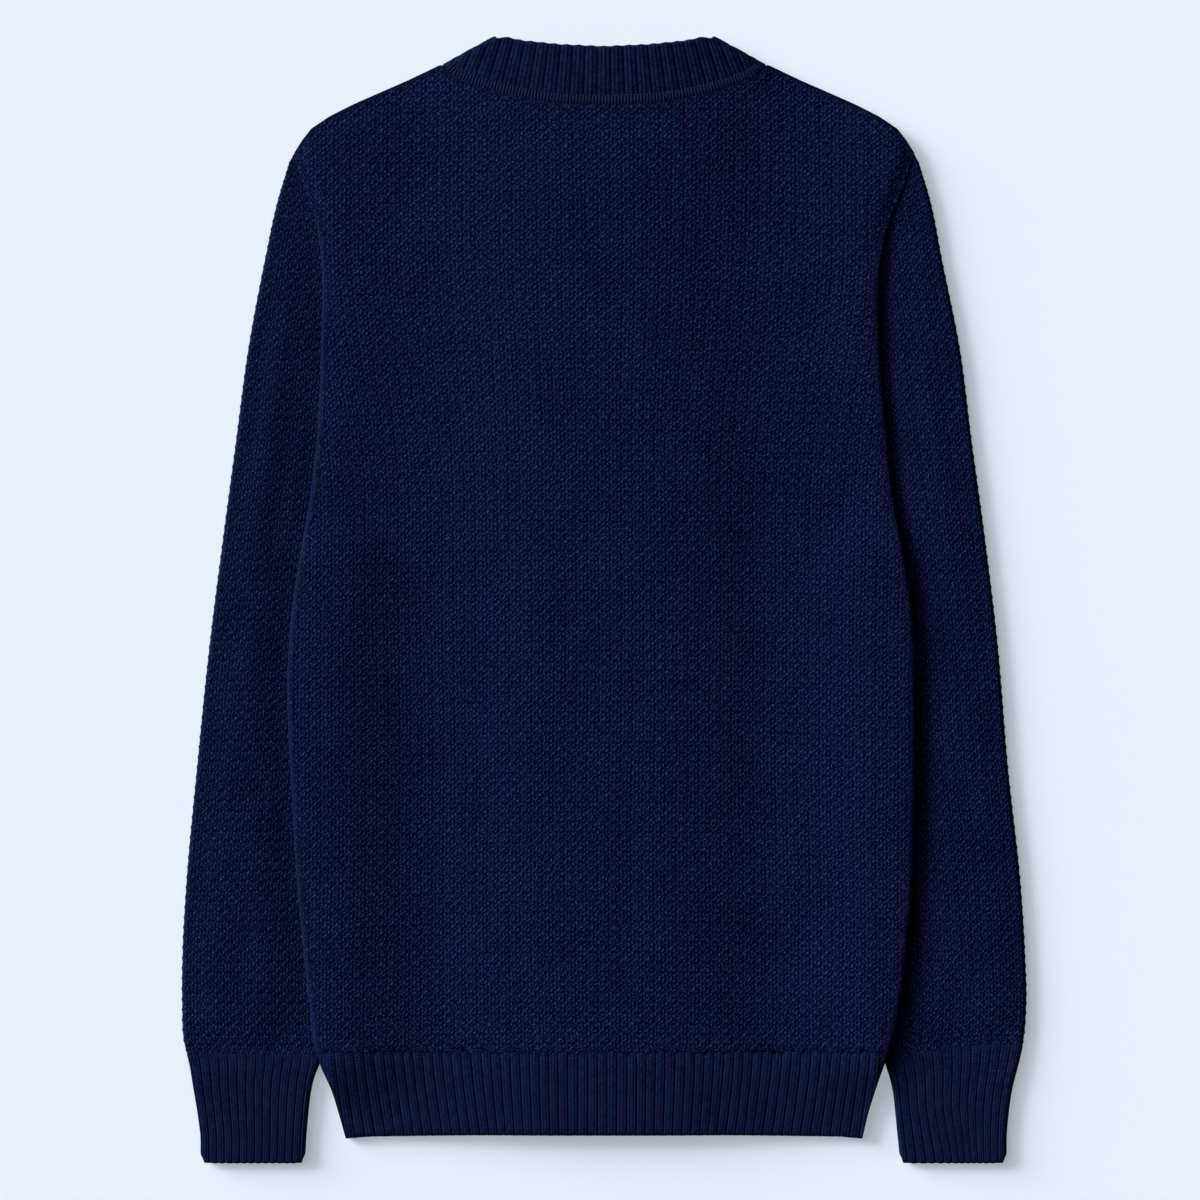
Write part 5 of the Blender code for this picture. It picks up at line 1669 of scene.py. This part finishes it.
@dataclass
class Neckband:
    """The ribbed band round the neck, with the linked seam at its foot.

    Attributes:
        lie: the garment's sizes.
        half_ribs: ribs from the centre back to the centre front.
        foot_pitch: width of a rib at the centre back's foot.
        edge_pitch: its width at the free edge.
        height: from the foot to the free edge.
        strip: height of the linked strip.
        stitch_pitch: distance between two linked stitches.
        fold: how far the side fold reaches past its line.
        fold_inset: where the fold line starts along the shoulder.
        groove: wall in a groove.
        crest: how far a rib stands above it.
    """

    lie: Lie
    half_ribs: int = 31
    foot_pitch: float = 9.2
    edge_pitch: float = 8.3
    height: float = 38.8
    strip: float = 6.6
    stitch_pitch: float = 2.1
    fold: float = 2.6
    fold_inset: float = 1.6
    groove: float = 1.9
    crest: float = 0.62

    def fold_line(self) -> tuple[Array, Array, Array]:
        """Foot and free end of the right side fold's axis, and the way outwards."""
        corner = np.array(self.lie.corner)
        foot = np.array((self.lie.neck_half, self.lie.neck_point_y))
        along = (corner - foot) / np.linalg.norm(corner - foot)
        outward = np.array((along[1], -along[0]))
        return foot - outward * self.fold + along * self.fold_inset, corner - outward * self.fold, outward

    def back_line(self, across: Array) -> tuple[Array, Array]:
        """Foot and free edge across the back; across runs from -1 to 1."""
        foot_end, edge_end, _ = self.fold_line()
        near = ease((np.abs(across) - 0.93) / 0.07)
        lines = []
        for end, line in ((foot_end, NECK_SEAM), (edge_end, NECK_EDGE)):
            x = end[0] * across
            y = line.at(x) + (end[1] - line.at(end[0])) * near
            lines.append(np.stack([x, y], axis=-1))
        return lines[0], lines[1]

    def front_line(self, share: Array, sign: float) -> tuple[Array, Array]:
        """Foot and free edge on a front, from the fold (0) to past the centre (1)."""
        lie = self.lie
        lines = []
        for half, top, drop in (
            (lie.neck_half, lie.neck_point_y, lie.front_neck_drop), (lie.corner[0], lie.corner[1], lie.front_band_drop)
        ):
            angle = share * (np.pi / 2 + math.asin(lie.band_width / 2 / half))
            lines.append(np.stack([sign * half * np.cos(angle), top - drop * np.sin(angle)], axis=-1))
        return lines[0], lines[1]

    def course(self, side: Side, row: float, wall: float) -> dict[str, Array]:
        """Follows the band along one row, from the centre back over the side fold to the centre front.

        Args:
            side: which half.
            row: share of the way from the foot to the free edge.
            wall: thickness there, as a share of the groove's.

        Returns:
            Arrays along the row: x, y and z of the right side, the same of the wrong side (rx, ry, rz),
            how much of the relief is kept inside (level) and the distance so far (run).
        """
        lie = self.lie
        turn = np.array([side.value, 1.0])
        front_wall = min(wall, 0.5 + 12.0 * row, 1.0)
        foot, edge = self.back_line(np.linspace(0.0, 1.0, 60))
        back = (foot + (edge - foot) * row) * turn
        high = lie.back(back[:, 0], back[:, 1])
        parts = [(back, high + self.groove * wall, back, high, np.zeros(60))]
        foot_end, edge_end, outward = self.fold_line()
        centre = foot_end + (edge_end - foot_end) * row
        axis = centre * turn
        low = float(lie.front(axis[:1], axis[1:], side)[0])
        high_end = float(lie.back(axis[:1], axis[1:])[0])
        top = high_end + self.groove * wall
        bottom = low + lie.cloth * (1.0 - front_wall)
        angle = np.radians(np.linspace(90.0, -90.0, 13))[1:-1]
        sine, cosine = np.sin(angle), np.cos(angle)[:, None]
        parts.append((
            (centre + outward * self.fold * cosine) * turn, (top + bottom) / 2 + (top - bottom) / 2 * sine,
            (centre + outward * 0.2 * cosine) * turn,
            (low + lie.cloth + high_end) / 2 + (high_end - low - lie.cloth) / 2 * sine, 0.5 - 0.5 * sine,
        ))
        foot, edge = self.front_line(np.linspace(0.0, 1.0, 70), 1.0)
        front = (foot + (edge - foot) * row) * turn
        low_z = lie.front(front[:, 0], front[:, 1], side)
        parts.append((front, low_z + lie.cloth * (1.0 - front_wall), front, low_z + lie.cloth, np.ones(70)))
        plan, z, rear, rear_z, level = (np.concatenate(values) for values in zip(*parts))
        steps = np.linalg.norm(np.diff(in_space(plan, z), axis=0), axis=1)
        return {
            "x": plan[:, 0], "y": plan[:, 1], "z": z, "rx": rear[:, 0], "ry": rear[:, 1], "rz": rear_z,
            "level": level, "run": np.concatenate([[0.0], np.cumsum(steps)]),
        }

    def skin(self) -> Skin:
        """Builds the band."""
        skin = Skin()
        strip = self.strip / self.height
        rows = np.concatenate([
            [0.0, 0.012, 0.04, 0.5 * strip, strip - 0.03, strip - 0.012, strip + 0.004, strip + 0.02, strip + 0.05],
            np.linspace(strip + 0.1, 0.92, 11), [0.95, 0.972, 0.988, 0.997, 1.0],
        ])
        wall = np.interp(
            rows,
            [0.0, 0.012, 0.04, strip - 0.03, strip - 0.012, strip + 0.004, strip + 0.05, 0.96, 0.988, 1.0],
            [1.05, 1.1, 1.1, 1.08, 1.05, 1.03, 1.0, 1.0, 0.75, 0.3],
        )
        rise = ease((rows - strip + 0.04) / 0.12) * ease((1.03 - rows) / 0.06)
        _, number = RibSpacing(self.half_ribs, 0.0, 1.0).shares()
        grids: dict[str, list[Array]] = {label: [] for label in ("x", "y", "z", "rx", "ry", "rz", "level")}
        for row, thick in zip(rows, wall):
            halves = []
            for side in Side:
                path = self.course(side, float(row), float(thick))
                pitch = self.foot_pitch + (self.edge_pitch - self.foot_pitch) * row
                spare = path["run"][-1] - pitch * self.half_ribs
                run = pitch * number + spare * (number / self.half_ribs) ** 2
                halves.append({label: np.interp(run, path["run"], path[label]) for label in grids})
            for label, grid in grids.items():
                grid.append(np.concatenate([halves[0][label][:0:-1], halves[1][label]]))
        made = {label: np.stack(grid) for label, grid in grids.items()}
        signed = np.concatenate([-number[:0:-1], number]) + 0.5
        raised = self.crest * rise[:, None] * np.ones_like(made["x"])
        bulge = 0.45 * np.cos(2 * np.pi * (signed - 0.5))[None, :] * ease((rows - 0.92) / 0.08)[:, None]
        made["y"] = made["y"] + (bulge - 0.3 * ease((rows - 0.92) / 0.08)[:, None]) * (1.0 - made["level"])
        stitch = np.stack(np.broadcast_arrays(signed[None, :], rows[:, None] * self.height), axis=-1)
        face = np.stack([made["x"], made["y"], made["z"]], -1)
        outer = skin.add(face, stitch, np.stack([raised, made["level"]], -1))
        skin.patch(outer)
        pick = np.ix_([0, 3, 8, 12, 16, 20, len(rows) - 1], np.append(np.arange(0, len(signed) - 3, 5), len(signed) - 1))
        inner = skin.add(np.stack([made["rx"], made["ry"], made["rz"]], -1)[pick], stitch[pick], np.zeros(2))
        skin.patch(inner)
        closed_grid(skin, outer, inner)
        return skin

    def linking(self, material: bpy.types.Material) -> bpy.types.Object:
        """Lays the linked stitches along the strip at the back's foot."""
        across = np.linspace(-0.985, 0.985, 160)
        foot, edge = self.back_line(across)
        way = edge - foot
        way /= np.linalg.norm(way, axis=1)[:, None]
        middle = foot + way * (self.strip * 0.5)
        height = self.lie.back(middle[:, 0], middle[:, 1]) + self.groove * 1.08
        mesh = bpy.data.meshes.new("linking_line")
        mesh.from_pydata(in_space(middle, height) * MM, [(k, k + 1) for k in range(len(middle) - 1)], [])
        line = new_object("linking_line", mesh)
        values = {
            "Pitch": self.stitch_pitch * MM, "Length": self.strip * 1.06 * MM, "Width": 1.8 * MM,
            "Height": 0.9 * MM, "Material": material,
        }
        return apply_tree(line, stitch_row_tree(), values, "linking_stitches")


def stitch_row_tree() -> bpy.types.NodeTree:
    """Builds the Geometry Nodes tree that lays upright stitches side by side along a line."""
    tree = bpy.data.node_groups.new("stitch_row", "GeometryNodeTree")
    tree.interface.new_socket("Geometry", in_out="INPUT", socket_type="NodeSocketGeometry")
    for label in ("Pitch", "Length", "Width", "Height"):
        tree.interface.new_socket(label, in_out="INPUT", socket_type="NodeSocketFloat")
    tree.interface.new_socket("Material", in_out="INPUT", socket_type="NodeSocketMaterial")
    tree.interface.new_socket("Geometry", in_out="OUTPUT", socket_type="NodeSocketGeometry")
    wires = Wires(tree)
    given = wires.node("NodeGroupInput")
    line = wires.feed(wires.node("GeometryNodeMeshToCurve"), {0: given.outputs["Geometry"]})
    even = wires.node("GeometryNodeResampleCurve")
    even.mode = "LENGTH"
    wires.feed(even, {"Curve": line.outputs[0], "Length": given.outputs["Pitch"]})
    ball = wires.node("GeometryNodeMeshUVSphere")
    wires.feed(ball, {"Segments": 8, "Rings": 7, "Radius": 0.5})
    tangent = wires.node("GeometryNodeInputTangent")
    aim = wires.node("FunctionNodeAlignEulerToVector", axis="X")
    wires.feed(aim, {"Vector": tangent.outputs[0]})
    wobble = wires.node("FunctionNodeRandomValue", data_type="FLOAT")
    for socket in wobble.inputs:
        if socket.enabled and socket.name in ("Min", "Max", "Seed"):
            socket.default_value = {"Min": 0.84, "Max": 1.16, "Seed": 4}[socket.name]
    uneven = next(s for s in wobble.outputs if s.enabled)
    length = wires.math("MULTIPLY", given.outputs["Length"], uneven)
    size = wires.joined(given.outputs["Width"], length, given.outputs["Height"])
    row = wires.node("GeometryNodeInstanceOnPoints")
    wires.feed(row, {
        "Points": even.outputs[0], "Instance": ball.outputs[0], "Rotation": aim.outputs[0], "Scale": size,
    })
    real = wires.feed(wires.node("GeometryNodeRealizeInstances"), {"Geometry": row.outputs[0]})
    smooth = wires.feed(wires.node("GeometryNodeSetShadeSmooth"), {"Geometry": real.outputs[0]})
    dressed = wires.node("GeometryNodeSetMaterial")
    wires.feed(dressed, {"Geometry": smooth.outputs[0], "Material": given.outputs["Material"]})
    wires.feed(wires.node("NodeGroupOutput"), {"Geometry": dressed.outputs[0]})
    return tree


# ---------------------------------------------------------------------------------------- buttons

@dataclass
class Buttons:
    """Seven four-hole buttons, face down, each sewn on with thread.

    Attributes:
        lie: the garment's sizes.
        diameter: of a button.
        first: y of the one at the neckband.
        last: y of the one at the hem.
        count: how many.
        hole: diameter of a thread hole.
        circle: radius on which the holes lie.
        thread: radius of the bundle of thread through a hole.
        stem: radius of the thread stem behind the button.
    """

    lie: Lie
    diameter: float = 18.0
    first: float = 281.0
    last: float = -336.0
    count: int = 7
    hole: float = 1.7
    circle: float = 2.7
    thread: float = 0.55
    stem: float = 1.3

    def blank(self) -> bpy.types.Mesh:
        """Turns one button with its rim and dished face, and drills its four holes."""
        r = self.diameter / 2
        thick = self.lie.button_thick
        profile = [
            (0.0, thick - 0.35), (r - 3.4, thick - 0.35), (r - 2.2, thick), (r - 0.7, thick), (r - 0.2, thick - 0.3),
            (r, thick - 0.8), (r, 0.8), (r - 0.2, 0.3), (r - 0.7, 0.05), (r - 1.3, 0.0), (r - 1.9, 0.1),
            (r - 2.6, 0.6), (r - 3.2, 0.75), (0.0, 0.75),
        ]
        shell = bmesh.new()
        line = [shell.verts.new((x * MM, 0.0, z * MM)) for x, z in profile]
        edges = [shell.edges.new(pair) for pair in zip(line, line[1:])]
        bmesh.ops.spin(
            shell, geom=line + edges, cent=(0, 0, 0), axis=(0, 0, 1), steps=48, angle=2 * math.pi, use_merge=True
        )
        bmesh.ops.remove_doubles(shell, verts=shell.verts, dist=1e-6)
        bmesh.ops.recalc_face_normals(shell, faces=shell.faces)
        mesh = bpy.data.meshes.new("button")
        shell.to_mesh(mesh)
        shell.free()
        button = new_object("button_blank", mesh)
        drills = []
        for k in range(4):
            turn = math.radians(45.0 + 90.0 * k)
            drill = bmesh.new()
            bmesh.ops.create_cone(
                drill, cap_ends=True, segments=20, radius1=self.hole / 2 * MM, radius2=self.hole / 2 * MM, depth=8 * MM
            )
            place = (self.circle * math.cos(turn) * MM, self.circle * math.sin(turn) * MM, 0.0)
            bmesh.ops.translate(drill, vec=place, verts=drill.verts)
            drill_mesh = bpy.data.meshes.new("drill")
            drill.to_mesh(drill_mesh)
            drill.free()
            drills.append(new_object("drill", drill_mesh))
            cut = button.modifiers.new("drill", "BOOLEAN")
            cut.operation = "DIFFERENCE"
            cut.object = drills[-1]
        graph = bpy.context.evaluated_depsgraph_get()
        drilled = bpy.data.meshes.new_from_object(button.evaluated_get(graph))
        for scrap in [button, *drills]:
            bpy.data.objects.remove(scrap, do_unlink=True)
        drilled.shade_smooth()
        drilled.set_sharp_from_angle(angle=math.radians(35.0))
        return drilled

    def places(self) -> Array:
        """Y of each button."""
        return np.linspace(self.first, self.last, self.count)

    def build(self, material: bpy.types.Material) -> list[bpy.types.Object]:
        """Makes the buttons, each turned a little differently."""
        blank = self.blank()
        made = []
        for number, y in enumerate(self.places(), start=1):
            mesh = blank.copy()
            turn = 0.25 * math.sin(3.7 * number)
            shell = bmesh.new()
            shell.from_mesh(mesh)
            bmesh.ops.rotate(shell, verts=shell.verts, cent=(0, 0, 0), matrix=turned_matrix(turn))
            bmesh.ops.translate(shell, verts=shell.verts, vec=(0.0, float(y) * MM, 0.0))
            shell.to_mesh(mesh)
            shell.free()
            mesh.materials.clear()
            mesh.materials.append(material)
            made.append(new_object(f"horn_button_{number}", mesh))
        bpy.data.meshes.remove(blank)
        return made

    def sewing(self, material: bpy.types.Material) -> bpy.types.Object:
        """Makes the thread of all buttons: through the holes, across the face, and the stem behind."""
        shell = bmesh.new()
        thick = self.lie.button_thick
        for number, y in enumerate(self.places(), start=1):
            turn = 0.25 * math.sin(3.7 * number)
            for k in (0, 1, 2, 3):
                a = math.radians(45.0 + 90.0 * k) + turn
                b = a + math.radians(90.0)
                here = np.array([self.circle * math.cos(a), y + self.circle * math.sin(a), 0.0])
                there = np.array([self.circle * math.cos(b), y + self.circle * math.sin(b), 0.0])
                self.strand(shell, here + [0, 0, 0.45], here + [0, 0, thick - 0.1], self.thread)
                if k % 2 == 0:
                    for off in (-0.28, 0.28):
                        side = np.array([math.cos((a + b) / 2), math.sin((a + b) / 2), 0.0]) * off
                        self.strand(shell, here + side + [0, 0, 0.42], there + side + [0, 0, 0.42], 0.27)
            stem_foot = np.array([0.0, y, thick - 0.34])
            self.strand(shell, stem_foot, np.array([0.0, y, self.lie.upper_band - 0.1]), self.stem)
        mesh = bpy.data.meshes.new("button_thread")
        bmesh.ops.recalc_face_normals(shell, faces=shell.faces)
        shell.to_mesh(mesh)
        shell.free()
        mesh.shade_smooth()
        mesh.materials.append(material)
        return new_object("button_thread", mesh)

    @staticmethod
    def strand(shell: bmesh.types.BMesh, start: Array, end: Array, radius: float) -> None:
        """Adds one short round-ended strand of thread."""
        start = np.asarray(start, float)
        end = np.asarray(end, float)
        way = end - start
        length = float(np.linalg.norm(way))
        way = way / length
        side = np.cross(way, [0.0, 1.0, 0.0] if abs(way[1]) < 0.9 else [1.0, 0.0, 0.0])
        side /= np.linalg.norm(side)
        other = np.cross(way, side)
        rings = []
        for run, share in ((0.0, 0.5), (0.4 * radius, 1.0), (length - 0.4 * radius, 1.0), (length, 0.5)):
            ring = []
            for k in range(10):
                t = 2 * math.pi * k / 10
                at = start + way * run + (side * math.cos(t) + other * math.sin(t)) * radius * share
                ring.append(shell.verts.new(at * MM))
            rings.append(ring)
        for low, high in zip(rings, rings[1:]):
            for k in range(10):
                shell.faces.new((low[k], low[(k + 1) % 10], high[(k + 1) % 10], high[k]))
        shell.faces.new(rings[0])
        shell.faces.new(rings[-1][::-1])


def turned_matrix(angle: float) -> "mathutils.Matrix":
    """A turn about Z, in radians."""
    from mathutils import Matrix
    return Matrix.Rotation(angle, 3, "Z")


# ------------------------------------------------------------------------------- the photographer's

@dataclass(frozen=True)
class Studio:
    """The pale table, the soft light from the left and the camera straight above.

    Attributes:
        view_width: width of the table that the picture shows, in metres.
        centre: the table's point under the camera, in metres.
        distance: the camera's height, in metres.
    """

    view_width: float = 0.792
    centre: tuple[float, float] = (-0.0028, -0.0002)
    distance: float = 2.4
    floor_colour: tuple[float, float, float, float] = (0.66, 0.70, 0.78, 1.0)

    def floor(self) -> bpy.types.Object:
        """Makes the table top."""
        mesh = bpy.data.meshes.new("table_top")
        half = 30.0
        corners = [(-half, -half, -0.0004), (half, -half, -0.0004), (half, half, -0.0004), (-half, half, -0.0004)]
        mesh.from_pydata(corners, [], [(0, 1, 2, 3)])
        material = bpy.data.materials.new("table_top")
        material.use_nodes = True
        shader = material.node_tree.nodes["Principled BSDF"]
        shader.inputs["Base Color"].default_value = self.floor_colour
        shader.inputs["Roughness"].default_value = 0.9
        shader.inputs["Specular IOR Level"].default_value = 0.1
        shader.inputs["Emission Color"].default_value = (0.823, 0.871, 0.974, 1.0)
        shader.inputs["Emission Strength"].default_value = 0.405
        mesh.materials.append(material)
        return new_object("table_top", mesh)

    def lights(self) -> None:
        """Hangs a low soft key at the left and a weak fill, and sets the surroundings."""
        for name, power, spread, way in (
            ("key", 4.8, 28.0, (1.0, -0.55, -0.34)),
            ("wide", 2.0, 74.0, (1.0, -0.62, -0.43)),
            ("fill", 0.06, 70.0, (-0.25, -0.5, -1.0)),
        ):
            data = bpy.data.lights.new(name, "SUN")
            data.energy = power
            data.angle = math.radians(spread)
            lamp = bpy.data.objects.new(name, data)
            lamp.rotation_mode = "QUATERNION"
            from mathutils import Vector
            lamp.rotation_quaternion = Vector(way).to_track_quat("-Z", "Y")
            bpy.context.scene.collection.objects.link(lamp)
        world = bpy.data.worlds.new("room")
        world.use_nodes = True
        background = world.node_tree.nodes["Background"]
        background.inputs["Color"].default_value = (0.80, 0.86, 1.0, 1.0)
        background.inputs["Strength"].default_value = 0.06
        bpy.context.scene.world = world

    def camera(self) -> None:
        """Places the camera."""
        data = bpy.data.cameras.new("camera")
        data.sensor_width = 36.0
        data.lens = data.sensor_width * self.distance / self.view_width
        data.clip_start = 0.1
        data.clip_end = 100.0
        camera = bpy.data.objects.new("camera", data)
        camera.location = (*self.centre, self.distance)
        bpy.context.scene.collection.objects.link(camera)
        bpy.context.scene.camera = camera
        bpy.context.scene.view_settings.view_transform = "Standard"


# ------------------------------------------------------------------------------------------- main

@dataclass
class Cardigan:
    """The whole garment: makes each piece, dresses it and ties it to the frame."""

    lie: Lie = field(default_factory=Lie)

    def __post_init__(self) -> None:
        """Builds the shared node groups, relief trees and finishes."""
        groups = {"yarn": yarn_group(), "seed": seed_group(), "rib": rib_group()}
        self.trees = {texture: relief_tree(texture) for texture in Texture}
        # Colours of the knit: the hollows' painted shade, and the crests' navy with a painted whitish highlight, for
        # the textured stitch and the ribs.
        deep = (0.0, 0.0007, 0.0205, 1.0)
        lit = (0.0184, 0.0275, 0.0880, 1.0)
        rib_crest_and_painted_highlight = (0.0137, 0.0209, 0.0715, 1.0)
        self.knit = KnitFinish("navy_knit", Texture.SEED, deep, lit).build(groups)
        self.rib = KnitFinish("navy_rib", Texture.RIB, deep, rib_crest_and_painted_highlight, bump=0.9).build(groups)
        self.band = KnitFinish("navy_band", Texture.RIB, deep, rib_crest_and_painted_highlight, bump=0.7, from_object=0.0043).build(groups)
        self.thread = YarnFinish("navy_thread", (0.003, 0.005, 0.028, 1.0), (0.0112, 0.0168, 0.061, 1.0)).build(groups)
        self.horn = HornFinish().build()

    def cloth(self, node: str, skin: Skin, texture: Texture, area: float, flat: tuple[float, float],
              rests_on: list[str]) -> None:
        """Args:
            node: the frame's node that it stands for.
            skin: its points and faces.
            texture: its stitch.
            area: area of its cut, in square metres.
            flat: width and length of its cut, in metres; not used.
            rests_on: nodes it lies on; not used.
        """
        material = self.knit if texture is Texture.SEED else self.rib
        base = new_object(f"{node}_base", skin.mesh(f"{node}_base"))
        values = {"Strength": MM, "Material": material}
        piece = apply_tree(base, self.trees[texture], values, f"{node}_cloth")
        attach(piece, "root")
        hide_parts(node)
        LOG.info("%s: %d faces, cut area %.4f m2", node, len(piece.data.polygons), area)

    def build(self, nodes: dict[str, bpy.types.Object]) -> None:
        """Makes every piece.

        Args:
            nodes: the frame's own nodes, by name.
        """
        lie = self.lie
        body = BodyPanels(lie)
        hem = HemRibs(lie)
        sleeves = Sleeves(lie)
        neckband = Neckband(lie)
        skin, area = body.back()
        self.cloth("back", skin, Texture.SEED, area, (0.42, 0.655), ["front_left", "front_right"])
        self.cloth("hem_back", hem.back(body), Texture.RIB, 0.0208, (0.38, 0.06), ["hem_front_left"])
        for side in Side:
            word = side.word
            skin, area = body.front(side)
            self.cloth(f"front_{word}", skin, Texture.SEED, area, (0.205, 0.655), [f"sleeve_{word}"])
            self.cloth(f"hem_front_{word}", hem.front(side), Texture.RIB, 0.0094, (0.18, 0.06), [f"cuff_{word}"])
            skin, area = sleeves.sleeve(side)
            self.cloth(f"sleeve_{word}", skin, Texture.SEED, area, (0.19, 0.60), [])
            skin, area = sleeves.cuff(side)
            self.cloth(f"cuff_{word}", skin, Texture.RIB, area, (0.19, 0.08), [])
        self.cloth("neckband", neckband.skin(), Texture.RIB, 0.0195, (0.56, 0.042), ["back"])
        linking = neckband.linking(self.thread)
        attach(linking, "root")
        buttons = Buttons(lie)
        for number, button in enumerate(buttons.build(self.horn), start=1):
            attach(button, "root")
            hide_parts(f"button_{number}")
        thread = buttons.sewing(self.thread)
        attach(thread, "root")
        for side in Side:
            self.button_band(nodes[f"button_band_{side.word}"])

    def button_band(self, node: bpy.types.Object) -> None:
        """Dresses a button band in its own form, with its foot drawn up like the hem beside it.

        Args:
            node: the frame's own band.
        """
        mesh = node.data.copy()
        mesh.transform(node.matrix_world)
        for vertex in mesh.vertices:
            if vertex.co.y < (self.lie.hem + 6.0) * MM:
                vertex.co.y += self.lie.hem_rise * MM
        mesh.materials.clear()
        mesh.materials.append(self.band)
        piece = new_object(f"{node.name}_cloth", mesh)
        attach(piece, "root")
        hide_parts(node.name)


def main() -> None:
    """Loads the frame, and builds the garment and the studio."""
    logging.basicConfig(level=logging.INFO, format="%(message)s")
    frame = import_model()
    Cardigan().build(frame["nodes"])
    studio = Studio()
    studio.floor()
    studio.lights()
    studio.camera()


if __name__ == "__main__":
    main()
